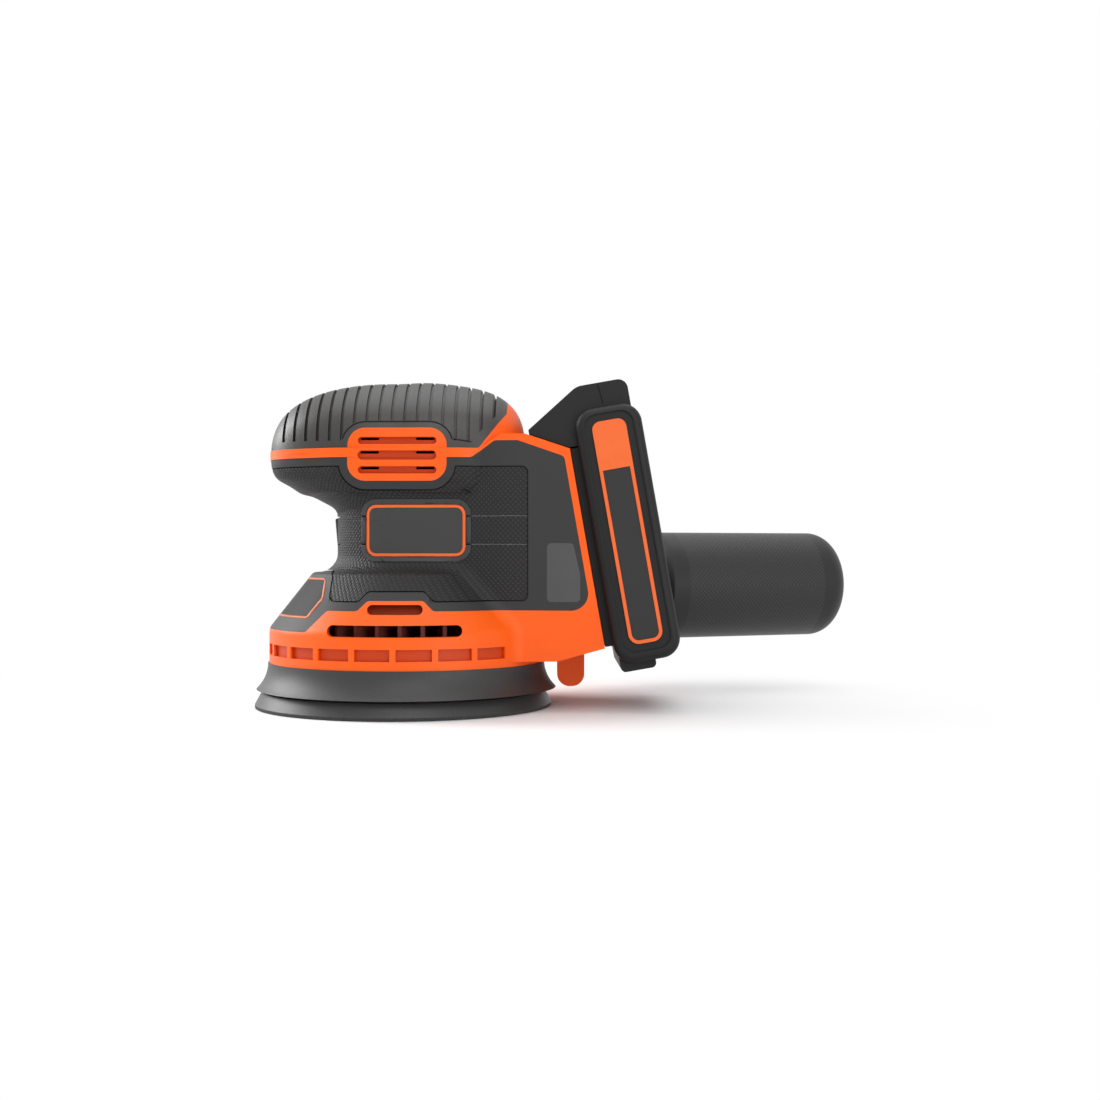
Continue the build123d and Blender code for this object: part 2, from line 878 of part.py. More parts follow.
armature_low = bearing_seat + hub_clearance
armature_high = armature_low + armature_length
magnet_inner = can_inner - magnet_thickness
magnets = ring(can_inner - running_gap, magnet_inner, armature_low, armature_high)
magnets -= cut_box((-magnet_spacing / 2, magnet_spacing / 2), (-far, far), (0, far))
core_radius = magnet_inner - air_gap
armature_core = ring(core_radius, shaft_radius + running_gap, armature_low, armature_high)
slot_radius = core_radius / 4
slot_circle = core_radius - winding_set_in * slot_radius
winding_slots = Part()
windings = Part()
for place in PolarLocations(slot_circle, armature_slots):
    winding_slots += place * disc(slot_radius, armature_low - 1, armature_high + 1)
    windings += place * disc(slot_radius - fit_gap, armature_low - hub_clearance / 2, armature_high)
armature_core -= winding_slots
crown_low = armature_high + fit_gap
windings += ring(slot_circle + slot_radius, shaft_bore, armature_high, crown_low + slot_radius)
commutator_low = crown_low + slot_radius + fit_gap
commutator_high = commutator_low + commutator_length
commutator = ring(commutator_radius, shaft_bore, commutator_low, commutator_high)
brushes = Part()
brush_middle = (commutator_low + commutator_high) / 2
for turn in (0, 180):
    brush = cut_box(
        (commutator_radius + fit_gap, can_inner - fit_gap),
        (-brush_width / 2, brush_width / 2),
        (brush_middle - brush_width / 2, brush_middle + brush_width / 2),
    )
    brushes += Rot(0, 0, turn) * brush


# On/off rocker: it pivots on a pin across the front wall
def rocker():
    face_x = -waist_front + rocker_sunk
    plate = cut_box(
        (face_x, face_x + rocker_depth),
        (-rocker_width / 2, rocker_width / 2),
        (rocker_height - rocker_length / 2, rocker_height + rocker_length / 2),
    )
    plate = fillet(plate.faces().sort_by(Axis.X)[0].edges(), rocker_edge)
    bore = Rot(90, 0, 0) * Cylinder(rocker_pin_radius + running_gap, rocker_width + 1)
    pivot = Pos(rocker_pin_x, 0, rocker_height)
    return pivot * Rot(0, -rocker_swing / 2, 0) * pivot.inverse() * (plate - pivot * bore)


switch_rocker = rocker()
rocker_pin = Pos(rocker_pin_x, 0, rocker_height) * Rot(90, 0, 0) * Cylinder(
    rocker_pin_radius, rocker_width + 2 * rocker_pin_reach - 2 * fit_gap
)
rocker_sweep = rocker_length / 2 * math.sin(math.radians(rocker_swing / 2))
switch_front = -waist_front + rocker_sunk + rocker_depth + rocker_sweep + slide_gap
switch_body = cut_box(
    (switch_front, -motor_radius - slide_gap),
    (-rocker_width / 2, rocker_width / 2),
    (rocker_height - rocker_length / 2, rocker_height + rocker_length / 2),
)

# Terminal block and blades in the foot of the socket
block_low = socket_low + fit_gap
terminal_top = block_low + terminal_height


def blade_places():
    start = -(blade_terminals - 1) * blade_pitch / 2
    return [start + index * blade_pitch for index in range(blade_terminals)]


blade_back = -(socket_depth + lip_depth) / 2


def blade_set(gap):
    """The row of blades, or with a gap the room that the pack leaves for them."""
    blades = Part()
    for y in blade_places():
        blades += cut_box(
            (blade_back - blade_width / 2 - gap, blade_back + blade_width / 2 + gap),
            (y - blade_gauge / 2 - gap, y + blade_gauge / 2 + gap),
            (terminal_top - terminal_low, terminal_top + blade_length + gap),
        )
    return blades


terminal_blades = blade_set(0)
terminal_block = cut_box(
    (-socket_depth + fit_gap, -lip_depth - fit_gap),
    (-socket_half_width + fit_gap, socket_half_width - fit_gap),
    (block_low, terminal_top),
)
terminal_block -= terminal_blades

# Battery pack, modelled upright at the tool's rear face and tilted into place at the end
shoulder_x = block_shoulder - receptacle_x
shoulder_z = block_top - receptacle_z
shoulder_up = shoulder_z * tilt_cos - shoulder_x * tilt_sin
shoulder_back = shoulder_x * tilt_cos + shoulder_z * tilt_sin


def nose_underside(back):
    """Height that keeps the nose clear of the housing's sloping rear edge."""
    return receptacle_top + nose_gap + (shoulder_up - receptacle_top) * back / shoulder_back


nose_tip_up = nose_underside(nose_tip_back) + nose_tip_blunt


def pack_block():
    outline = [
        (pack_seat, pack_low),
        (pack_back, pack_low),
        (pack_back, pack_body_high),
        (pack_seat, pack_body_high),
    ]
    block = side_prism(outline, pack_half_width)
    block = fillet(block.edges().filter_by(Axis.Y), pack_corner)
    flank_edges = [e for e in block.edges() if abs(e.center().Y) > pack_half_width - pack_edge]
    return fillet(flank_edges, pack_edge)


def pack_nose():
    """Head of the pack, from the nose over the housing to the rounded crest."""
    outline = [
        (nose_tip_back, nose_tip_up),
        (nose_tip_back, nose_underside(nose_tip_back)),
        (0, nose_underside(0)),
        (pack_split, nose_underside(0)),
        (pack_back - pack_edge, nose_underside(0)),
        (pack_back - pack_edge, pack_high),
        (nose_top_back, pack_high),
    ]
    face = make_face(Polyline(*outline, close=True))
    brow = face.vertices().sort_by_distance((nose_top_back, pack_high))[0]
    face = fillet(brow, pack_brow_round)
    crest = face.vertices().sort_by_distance((pack_back, pack_high))[0]
    face = fillet(crest, pack_crest_round)
    return extrude(Plane.XZ * face, nose_half_width, both=True)


def pack_foot():
    outline = [
        (heel_front, cell_low),
        (heel_front, heel_low),
        (heel_back, heel_low),
        (heel_back, cell_low),
    ]
    foot_block = side_prism(outline, nose_half_width)
    return fillet(foot_block.edges().filter_by(Axis.Y).group_by(Axis.Z)[0], heel_round)


def pack_tongue():
    low = terminal_top + slide_gap
    high = nose_underside(0) + nose_gap
    wide = (-tongue_depth, -lip_depth - slide_gap)
    web = (-lip_depth - slide_gap, pack_split)
    tongue = cut_box(wide, (slide_gap - socket_half_width, socket_half_width - slide_gap), (low, high))
    tongue += cut_box(web, (slide_gap - lip_half_width, lip_half_width - slide_gap), (low, high))
    return tongue - blade_set(contact_gap)


stack_half = cell_count * cell_pitch / 2
cell_low = cell_lift - stack_half - fit_gap
cell_high = cell_lift + stack_half + fit_gap
neck = cut_box(
    (slide_gap, pack_split),
    (-pack_neck_half_width, pack_neck_half_width),
    (pack_low + pack_corner, receptacle_top),
)
cell_room = cut_box(
    (cell_back - cell_radius - fit_gap, cell_back + cell_radius + fit_gap),
    (-pack_half_width + pack_wall, pack_half_width - pack_wall),
    (cell_low, cell_high),
)

# Release button, square to the nose's slope
slope_angle = math.degrees(math.atan2(pack_high - nose_tip_up, nose_top_back - nose_tip_back))
slope_middle = ((nose_tip_back + nose_top_back) / 2, 0, (nose_tip_up + pack_high) / 2)
button_place = Location(slope_middle, (0, -slope_angle, 0))


def button_block(gap, low, high):
    half_length = button_length / 2 + gap
    half_width = button_width / 2 + gap
    return cut_box((-half_length, half_length), (-half_width, half_width), (low, high))


button = button_block(0, button_proud - button_thickness, button_proud)
button = fillet(button.faces().sort_by(Axis.Z)[-1].edges(), button_edge)
well_floor = button_proud - button_thickness - button_travel - slide_gap
button_well = button_place * button_block(slide_gap, well_floor, button_thickness)
release_button = battery_place * button_place * button

# Recessed flank panels, and the label plate on the near side
def flank_face(grow):
    """Rounded rectangle of the label, or of the recess round it."""
    width = label_back - label_front + 2 * grow
    length = label_high - label_low + 2 * grow
    place = Pos((label_front + label_back) / 2, (label_low + label_high) / 2)
    return place * RectangleRounded(width, length, panel_corner)


flank_panels = across(flank_face(panel_margin))
label_y = panel_depth - pack_half_width
flank_panels -= cut_box((-far, far), (label_y, -label_y), (-far, far))
label = across(flank_face(0)) & cut_box((-far, far), (label_y - label_thickness, label_y), (-far, far))

pack = pack_block() + neck + pack_nose() + pack_foot() + pack_tongue()
pack = pack - cell_room - button_well - flank_panels
front_part = cut_box((-far, pack_split), (-far, far), (-far, far))
battery_front_case = battery_place * (pack & front_part)
battery_rear_case = battery_place * (pack - front_part)
battery_label = battery_place * label

# Cells across the pack, joined end to end by straps on alternate sides
cell_heights = [cell_lift + (index - (cell_count - 1) / 2) * cell_pitch for index in range(cell_count)]
cells = Part()
for up in cell_heights:
    cells += Pos(cell_back, 0, up) * Rot(90, 0, 0) * Cylinder(cell_radius, cell_length)
straps = Part()
strap_half = strap_width / 2
for index in range(cell_count + 1):
    side = 1 if index % 2 else -1
    low = cell_heights[max(index - 1, 0)] - strap_half
    high = cell_heights[min(index, cell_count - 1)] + strap_half
    middle = side * (cell_length + strap_thickness) / 2
    straps += cut_box(
        (cell_back - strap_half, cell_back + strap_half),
        (middle - strap_thickness / 2, middle + strap_thickness / 2),
        (low, high),
    )
battery_cells = battery_place * cells
cell_straps = battery_place * straps
contacts = Part()
for y in blade_places():
    wall = y + blade_gauge / 2 + contact_gap
    contacts += cut_box(
        (blade_back - blade_width / 2, blade_back + blade_width / 2),
        (wall - contact_gauge, wall),
        (terminal_top + blade_length / 2, terminal_top + blade_length),
    )
battery_contacts = battery_place * contacts
terminal_block = battery_place * terminal_block
terminal_blades = battery_place * terminal_blades

# Dust canister on the spigot
collar_start = duct_length + slide_gap
sleeve_start = canister_start + canister_wall
sleeve_end = canister_end - cap_length
spigot_room = spigot_radius + slide_gap
canister_collar = along_duct(spigot_room + canister_wall, collar_start, sleeve_start)
lip_radius = spigot_room + canister_wall + collar_lip
canister_collar += along_duct(lip_radius, collar_start, collar_start + collar_length / 4)
canister_collar += along_duct(canister_radius, canister_start, sleeve_start)
canister_collar -= along_duct(spigot_room, 0, far)
canister_sleeve = along_duct(canister_radius, sleeve_start, sleeve_end)
canister_sleeve -= along_duct(canister_radius - canister_wall, 0, far)
canister_cap = along_duct(canister_radius, sleeve_end, canister_end)
cap_rim = canister_cap.edges().sort_by_distance(duct_plane.origin + duct_plane.z_dir * canister_end)[0]
canister_cap = fillet(cap_rim, canister_edge)
canister_cap -= along_duct(canister_radius - canister_edge, 0, canister_end - canister_wall)
filter_frame = along_duct(filter_radius, sleeve_start, sleeve_start + canister_wall)
filter_frame += along_duct(filter_radius, sleeve_end - canister_wall, sleeve_end)
for index in range(filter_ribs):
    turn = Rot(0, 0, index * 360 / filter_ribs)
    bar = cut_box(
        (filter_radius - canister_wall, filter_radius),
        (-filter_rib / 2, filter_rib / 2),
        (sleeve_start, sleeve_end),
    )
    filter_frame += duct_plane * turn * bar
filter_frame -= along_duct(filter_radius - canister_wall, 0, sleeve_start + canister_wall)

# Housing screws
housing_screws = Part()
for place in screw_places:
    housing_screws += screw_line(screw_radius, -screw_reach + fit_gap, boss_split, place)
    housing_screws += screw_line(screw_head_radius, boss_split, boss_split + screw_head_height, place)


nodes = {
    "housing_left": housing_left,
    "housing_right": housing_right,
    "grip_left": grip_left,
    "grip_right": grip_right,
    "top_grip": top_grip,
    "front_plate": front_plate,
    "badge_plate": badge_plate,
    "rating_patch": rating_patch,
    "dust_skirt": dust_skirt,
    "housing_screws": housing_screws,
    "motor_can": motor_can,
    "motor_end_bell": end_bell,
    "motor_cushion": motor_cushion,
    "motor_magnets": magnets,
    "motor_brushes": brushes,
    "motor_bearing_lower": lower_bearing,
    "motor_bearing_upper": upper_bearing,
    "motor_shaft": motor_shaft,
    "armature_core": armature_core,
    "armature_windings": windings,
    "commutator": commutator,
    "impeller": impeller,
    "eccentric_hub": eccentric_hub,
    "counterweight": counterweight,
    "platen_bearing_outer": bearing_outer_ring,
    "platen_bearing_balls": bearing_balls,
    "platen_bearing_inner": bearing_inner_ring,
    "platen_spindle": platen_spindle,
    "platen_screws": platen_screws,
    "backing_plate": backing_plate,
    "foam_pad": foam_pad,
    "hook_face": hook_face,
    "switch_rocker": switch_rocker,
    "rocker_pin": rocker_pin,
    "switch_body": switch_body,
    "terminal_block": terminal_block,
    "terminal_blades": terminal_blades,
    "battery_front_case": battery_front_case,
    "battery_rear_case": battery_rear_case,
    "battery_label": battery_label,
    "battery_cells": battery_cells,
    "cell_straps": cell_straps,
    "battery_contacts": battery_contacts,
    "release_button": release_button,
    "canister_collar": canister_collar,
    "canister_sleeve": canister_sleeve,
    "canister_cap": canister_cap,
    "filter_frame": filter_frame,
}
for name, solid in nodes.items():
    export_step(solid, f"parts/{name}.step")
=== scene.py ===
# %% [markdown]
# # Dressing a cordless random orbital sander
# The tool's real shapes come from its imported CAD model, which is loaded here as a fixed frame.
# This lesson gives every surface its finish, adds the printed lines, seams and thin trim that a
# solid model leaves out, and then sets the camera, the floor and the light of a product photograph.
# Sizes on the tool are in millimetres, and MM turns them into Blender's metres.

# %% Load the frame
import math

import bmesh
import bpy
from mathutils import Matrix, Vector
from mathutils.bvhtree import BVHTree


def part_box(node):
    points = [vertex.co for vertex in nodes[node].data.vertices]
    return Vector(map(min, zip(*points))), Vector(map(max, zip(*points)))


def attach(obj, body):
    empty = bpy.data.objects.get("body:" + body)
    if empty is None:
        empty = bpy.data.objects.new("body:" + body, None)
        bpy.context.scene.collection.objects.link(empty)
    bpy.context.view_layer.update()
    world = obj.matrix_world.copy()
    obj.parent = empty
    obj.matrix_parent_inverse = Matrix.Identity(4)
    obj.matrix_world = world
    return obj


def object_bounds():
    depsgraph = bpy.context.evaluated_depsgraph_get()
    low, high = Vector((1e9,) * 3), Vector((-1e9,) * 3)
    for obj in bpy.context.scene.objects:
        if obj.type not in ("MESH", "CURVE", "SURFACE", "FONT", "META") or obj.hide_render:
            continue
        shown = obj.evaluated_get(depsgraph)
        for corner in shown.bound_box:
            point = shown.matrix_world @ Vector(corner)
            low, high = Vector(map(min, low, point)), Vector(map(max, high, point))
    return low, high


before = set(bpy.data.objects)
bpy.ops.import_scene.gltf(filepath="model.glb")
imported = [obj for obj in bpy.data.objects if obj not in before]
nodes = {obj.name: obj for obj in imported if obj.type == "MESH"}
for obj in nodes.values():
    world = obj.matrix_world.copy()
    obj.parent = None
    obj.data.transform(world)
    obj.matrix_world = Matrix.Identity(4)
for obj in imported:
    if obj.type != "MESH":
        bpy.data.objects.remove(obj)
cad_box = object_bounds()
MM = 0.001
print("loaded", len(nodes), "nodes, box", [[round(v / MM, 1) for v in corner] for corner in cad_box])

# %% [markdown]
# ## A few small tools for materials
# Colours are written as the sRGB hex values that a colour picker shows, and a shader wants linear
# light, so one function converts them. A second function adds a node, sets its properties and fills
# its sockets, either with a value or with a link. A pattern's scale is one over its size in metres,
# because all of them read Object coordinates, which are metres here.

# %% Colour helper
def linear(hex_code):
    """An sRGB hex colour as linear RGBA."""
    channels = [int(hex_code[i:i + 2], 16) / 255 for i in (1, 3, 5)]
    return [c / 12.92 if c <= 0.04045 else ((c + 0.055) / 1.055) ** 2.4 for c in channels] + [1.0]


print("mid grey is", [round(c, 3) for c in linear("#808080")])


# %% Node helpers
def add_node(tree, kind, inputs=None, **settings):
    """Adds a node, sets its properties, and fills its sockets with values or links."""
    made = tree.nodes.new(kind)
    for name, value in settings.items():
        setattr(made, name, value)
    for socket, value in (inputs or {}).items():
        if isinstance(value, bpy.types.NodeSocket):
            tree.links.new(value, made.inputs[socket])
        else:
            made.inputs[socket].default_value = value
    return made


def per_mm(size):
    """The texture scale whose features are about that many millimetres across."""
    return 1.0 / (size * MM)


def start_material(name, **shader_values):
    """A material with one Principled shader, its constant sockets set, and its Object coordinates."""
    material = bpy.data.materials.new(name)
    material.use_nodes = True
    tree = material.node_tree
    shader = tree.nodes["Principled BSDF"]
    for socket, value in shader_values.items():
        shader.inputs[socket.replace("_", " ")].default_value = value
    place = add_node(tree, "ShaderNodeTexCoord").outputs["Object"]
    return material, tree, shader, place


def feed(tree, shader, sources):
    """Links sockets to the named sockets of a shader."""
    for name, source in sources.items():
        tree.links.new(source, shader.inputs[name])


print("a pattern of 1 mm has a scale of", per_mm(1.0))

# %% [markdown]
# ## Moulded plastics
# The shell is nylon from a spark-eroded mould: its colour is even, and the eroded steel leaves a fine
# grain that softens every highlight. The battery is ABS and the canister is polypropylene, with the
# same kind of grain. A picture of a grain could be wrapped round them, but a noise in Object
# coordinates needs no unwrapping and keeps its real size on every piece. One function serves them
# all, because only the colour, the grain and the gloss differ.

# %% Moulded plastic
CLOUD_MM = 14.0
GRAIN_SWING = 0.06
GRAIN_STRENGTH = 0.35


def moulded_plastic(name, dark, light, roughness, specular, grain_mm, depth_mm):
    """Plastic with an eroded grain for bump and roughness, and a faint clouding of its colour."""
    material, tree, shader, place = start_material(name, IOR=1.5, Specular_IOR_Level=specular)
    cloud = add_node(tree, "ShaderNodeTexNoise", {
        "Vector": place, "Scale": per_mm(CLOUD_MM), "Detail": 3.0}).outputs["Fac"]
    tint = add_node(tree, "ShaderNodeMix", {
        "Factor": cloud, "A": linear(dark), "B": linear(light)}, data_type="RGBA")
    grain = add_node(tree, "ShaderNodeTexNoise", {
        "Vector": place, "Scale": per_mm(grain_mm), "Detail": 2.0}).outputs["Fac"]
    gloss = add_node(tree, "ShaderNodeMapRange", {
        "Value": grain, "To Min": roughness - GRAIN_SWING, "To Max": roughness + GRAIN_SWING})
    bump = add_node(tree, "ShaderNodeBump", {
        "Height": grain, "Strength": GRAIN_STRENGTH, "Distance": depth_mm * MM})
    feed(tree, shader, {"Base Color": tint.outputs["Result"], "Roughness": gloss.outputs["Result"],
                        "Normal": bump.outputs["Normal"]})
    return material


print("the grain changes the roughness by", GRAIN_SWING, "either way")

# %% [markdown]
# ## Plastics of the outside
# Each finish is kept under the name of the CAD model's material slot, so that a loop can hand them
# out later. The front plate shares its slot with the badge but is blacker, so it gets a finish for
# its node alone. A real eroded grain is about a tenth of a millimetre, too fine to show, so it is
# drawn at a third to half a millimetre, which is about one pixel of the photograph.

# %% Outer plastics
finish = {}
node_finish = {}
# Nylon gives an even, strong orange with broad and soft highlights.
finish["orange_shell"] = moulded_plastic(
    "orange_nylon_moulded", "#f85a0a", "#fd6410",
    roughness=0.42, specular=0.28, grain_mm=0.45, depth_mm=0.05)
# Black ABS gives a near black case, dull where its deeper grain breaks up the light.
finish["pack_black"] = moulded_plastic(
    "black_abs_moulded", "#171718", "#1c1c1d",
    roughness=0.48, specular=0.25, grain_mm=0.5, depth_mm=0.08)
# A button of the same ABS is a little glossier than the case.
finish["button_black"] = moulded_plastic(
    "button_abs_moulded", "#171718", "#1c1c1d",
    roughness=0.4, specular=0.3, grain_mm=0.5, depth_mm=0.06)
# Satin ABS gives a flat dark grey, smoother than the rubber round it.
finish["plate_dark"] = moulded_plastic(
    "plate_abs_satin_moulded", "#3a3a3a", "#404040",
    roughness=0.45, specular=0.25, grain_mm=0.3, depth_mm=0.03)
# The front plate is a blacker ABS that hardly reflects.
node_finish["front_plate"] = moulded_plastic(
    "front_plate_abs_satin_moulded", "#181818", "#1c1c1c",
    roughness=0.5, specular=0.12, grain_mm=0.3, depth_mm=0.03)
# Satin polycarbonate gives a lighter grey than the rubber beside it, with a faint sheen.
finish["patch_grey"] = moulded_plastic(
    "patch_polycarbonate_satin_moulded", "#494949", "#505050",
    roughness=0.4, specular=0.3, grain_mm=0.3, depth_mm=0.03)
# Rolled polyester film gives a dark, smooth ground for the printed frame.
finish["pack_label"] = moulded_plastic(
    "label_polyester_film_rolled", "#2b2b2c", "#303031",
    roughness=0.42, specular=0.25, grain_mm=0.4, depth_mm=0.03)
# Polypropylene gives a waxy charcoal without sharp glints.
finish["canister_black"] = moulded_plastic(
    "canister_polypropylene_moulded", "#282828", "#2d2d2d",
    roughness=0.5, specular=0.25, grain_mm=0.4, depth_mm=0.05)
print(len(finish), "slots and", len(node_finish), "node have a moulded plastic")

# %% [markdown]
# ## Plastics of the inside
# Most of these show only through the slots, or with the battery or the canister pulled off, and the
# cells stay inside their case. They use the same function, because they come out of moulds too. The
# cells' sleeves are a shrunk film instead, and a higher gloss and a very shallow grain make that
# difference.

# %% Inner plastics
# Black nylon gives the motor's end, the switch body and the terminal block a plain, dull surface.
finish["motor_plastic"] = moulded_plastic(
    "motor_nylon_moulded", "#1a1a1a", "#242424",
    roughness=0.5, specular=0.4, grain_mm=0.4, depth_mm=0.05)
# Brown nylon, painted lighter as painted light, keeps the blades visible in the dark of the long slot.
finish["impeller_nylon"] = moulded_plastic(
    "impeller_nylon_painted_light", "#80463e", "#94564c",
    roughness=0.5, specular=0.4, grain_mm=0.4, depth_mm=0.05)
# Undyed polypropylene gives a pale, dull grey.
finish["filter_plastic"] = moulded_plastic(
    "filter_polypropylene_moulded", "#8c8c86", "#9a9a94",
    roughness=0.55, specular=0.4, grain_mm=0.4, depth_mm=0.05)
# Dark nylon makes the plate over the foam hard to tell from it, as on the real pad.
finish["backing_plastic"] = moulded_plastic(
    "backing_nylon_moulded", "#262525", "#2e2d2d",
    roughness=0.5, specular=0.4, grain_mm=0.4, depth_mm=0.05)
# Shrunk PVC film gives each cell a tight, glossy blue skin.
finish["cell_wrap"] = moulded_plastic(
    "cell_pvc_film_shrunk", "#1d5f8a", "#22699a",
    roughness=0.3, specular=0.5, grain_mm=0.6, depth_mm=0.02)
print(len(finish), "slots have a finish")

# %% [markdown]
# ## Soft overmoulds
# The grips, skirt and switch are thermoplastic elastomer, a rubber that is moulded over the shell.
# It is duller than the shell, and its skin is faintly leathery. A noise would look like the plastic's
# grain, so a Voronoi pattern is used, whose rounded cells are closer to leather. Its cells are drawn
# at about half a millimetre, coarser than real, so that they show.

# %% Elastomer
SKIN_SWING = 0.05
SKIN_STRENGTH = 0.5


def elastomer(name, dark, light, roughness, skin_mm, depth_mm, specular=0.5):
    """Rubber with a leathery skin."""
    material, tree, shader, place = start_material(name, IOR=1.5, Specular_IOR_Level=specular)
    skin = add_node(tree, "ShaderNodeTexVoronoi", {
        "Vector": place, "Scale": per_mm(skin_mm)}, feature="SMOOTH_F1").outputs["Distance"]
    tint = add_node(tree, "ShaderNodeMix", {
        "Factor": skin, "A": linear(light), "B": linear(dark)}, data_type="RGBA")
    bump = add_node(tree, "ShaderNodeBump", {
        "Height": skin, "Strength": SKIN_STRENGTH, "Distance": depth_mm * MM})
    gloss = add_node(tree, "ShaderNodeMapRange", {
        "Value": skin, "To Min": roughness - SKIN_SWING, "To Max": roughness + SKIN_SWING})
    feed(tree, shader, {"Base Color": tint.outputs["Result"], "Roughness": gloss.outputs["Result"],
                        "Normal": bump.outputs["Normal"]})
    return material


print("the skin changes the roughness by", SKIN_SWING, "either way")

# %% [markdown]
# ## Rubber, foam and fabric
# The rubbers differ in colour, gloss and skin. The pad's foam and its hook fabric have small cells
# too, so they use the same function: the foam has a close, shallow skin, and the fabric a deep, dull
# one.

# %% Rubber, foam and fabric
# The palm cap's elastomer gives a warm charcoal with a wide, soft sheen along each rib.
finish["grip_rubber"] = elastomer(
    "grip_elastomer_moulded", "#2c2a29", "#353332", roughness=0.45, skin_mm=0.7, depth_mm=0.06)
# The skirt's elastomer is smoother, so its flare shows one long highlight.
finish["skirt_rubber"] = elastomer(
    "skirt_elastomer_moulded", "#2a2a29", "#303030",
    roughness=0.48, skin_mm=0.6, depth_mm=0.03, specular=0.45)
# The switch's elastomer is darker and duller, so it stands out from the grip.
finish["rocker_rubber"] = elastomer(
    "switch_elastomer_moulded", "#1d1d1d", "#242424", roughness=0.55, skin_mm=0.5, depth_mm=0.04)
# The motor's cushion is a plain dull rubber.
finish["cushion_rubber"] = elastomer(
    "cushion_rubber_moulded", "#1c1c1c", "#242424", roughness=0.7, skin_mm=0.6, depth_mm=0.05)
# Skinned polyurethane foam gives the pad's rim a close, even grey.
finish["pad_foam"] = elastomer(
    "pad_polyurethane_foam_skinned", "#282727", "#2f2e2e", roughness=0.46, skin_mm=0.5, depth_mm=0.05)
# Woven nylon hooks scatter the light, so the underside looks like felt.
finish["hook_fabric"] = elastomer(
    "hook_nylon_woven", "#2a2929", "#3c3b3b", roughness=0.9, skin_mm=0.7, depth_mm=0.3)
print(len(finish), "slots have a finish")

# %% [markdown]
# ## Metals inside
# Steel, copper and alloy show only in screw holes, through slots and with the battery off. A turned or
# drawn metal is a grey or reddish mirror, and its tool marks are far too fine to model. They are a
# noise of about a millimetre in the roughness, coarser than real, so that a highlight on it breaks up.

# %% Metal
MARK_SWING = 0.1


def machined_metal(name, colour, roughness, mark_mm):
    """Metal whose tool marks vary the roughness."""
    material, tree, shader, place = start_material(name, Metallic=1.0, Base_Color=linear(colour))
    marks = add_node(tree, "ShaderNodeTexNoise", {
        "Vector": place, "Scale": per_mm(mark_mm), "Detail": 4.0}).outputs["Fac"]
    gloss = add_node(tree, "ShaderNodeMapRange", {
        "Value": marks, "To Min": roughness - MARK_SWING, "To Max": roughness + MARK_SWING})
    feed(tree, shader, {"Roughness": gloss.outputs["Result"]})
    return material


# Blackened steel gives the screws a dark head with a small glint.
finish["screw_steel"] = machined_metal("screw_steel_blackened", "#4a4a4c", roughness=0.4, mark_mm=1.0)
# Drawn steel gives the motor can a plain bright grey.
finish["motor_steel"] = machined_metal("motor_steel_drawn", "#a0a2a5", roughness=0.35, mark_mm=1.5)
# Ground steel gives the bearings the sharpest reflections.
finish["bearing_steel"] = machined_metal("bearing_steel_ground", "#c4c6c8", roughness=0.2, mark_mm=0.8)
# Cast aluminium is paler than the can and reflects more softly than the bearings.
finish["hub_alloy"] = machined_metal("hub_aluminium_cast", "#b4b6b8", roughness=0.4, mark_mm=1.2)
# Drawn copper gives a warm, reddish shine.
finish["copper"] = machined_metal("copper_drawn", "#c8733c", roughness=0.35, mark_mm=0.6)
# Sintered ferrite gives a dull charcoal.
finish["magnet_ferrite"] = machined_metal(
    "magnet_ferrite_sintered", "#3c3c3e", roughness=0.6, mark_mm=0.8)
print(len(finish), "slots have a finish")

# %% [markdown]
# ## Patterns made of ridges
# The knurl of the side grips and the weave of the canister are both two sets of slanted ridges that
# cross. The lower of two triangle waves gives flat-sided diamonds, as a cut mould does. Thousands of
# modelled diamonds would weigh the model down for a height of under a third of a millimetre, so they
# are drawn by nodes.

# %% Crossed ridges
def crossed_ridges(tree, vectors, pitch_mm):
    """Height of diamonds from two sets of ridges, each given by the vector that crosses it."""
    waves = []
    for place, direction in vectors:
        step = Vector(direction).normalized() / (pitch_mm * MM / 2)
        along = add_node(tree, "ShaderNodeVectorMath", {0: place, 1: step}, operation="DOT_PRODUCT")
        wave = add_node(tree, "ShaderNodeMath", {
            0: along.outputs["Value"], 1: 1.0}, operation="PINGPONG")
        waves.append(wave.outputs["Value"])
    return add_node(tree, "ShaderNodeMath", {
        0: waves[0], 1: waves[1]}, operation="MINIMUM").outputs["Value"]


print("ridge pattern ready")

# %% [markdown]
# ## Masks
# On the real grip a pattern stops at a border. A mask that is painted on a picture would need a UV
# map, so these are worked out from the place in the tool: one is a product of ramps along the axes,
# and the other is a rounded box in side view.

# %% Masks
FAR_MM = 250.0
BORDER_MM = 0.3


def axes_of(tree, place):
    """Sockets of the coordinates and of the distance from the motor axis."""
    split = add_node(tree, "ShaderNodeSeparateXYZ", {"Vector": place})
    flat = add_node(tree, "ShaderNodeVectorMath", {0: place, 1: (1, 1, 0)}, operation="MULTIPLY")
    around = add_node(tree, "ShaderNodeVectorMath", {0: flat.outputs["Vector"]}, operation="LENGTH")
    return {"X": split.outputs["X"], "Y": split.outputs["Y"], "Z": split.outputs["Z"],
            "R": around.outputs["Value"]}


def inside_ramps(tree, axes, ramps):
    """Product of ramps along the axes, in mm: one inside all of them, zero outside."""
    share = 1.0
    for axis, start, end in ramps:
        ramp = add_node(tree, "ShaderNodeMapRange", {
            "Value": axes[axis], "From Min": start * MM, "From Max": end * MM})
        share = add_node(tree, "ShaderNodeMath", {
            0: share, 1: ramp.outputs["Result"]}, operation="MULTIPLY").outputs["Value"]
    return share


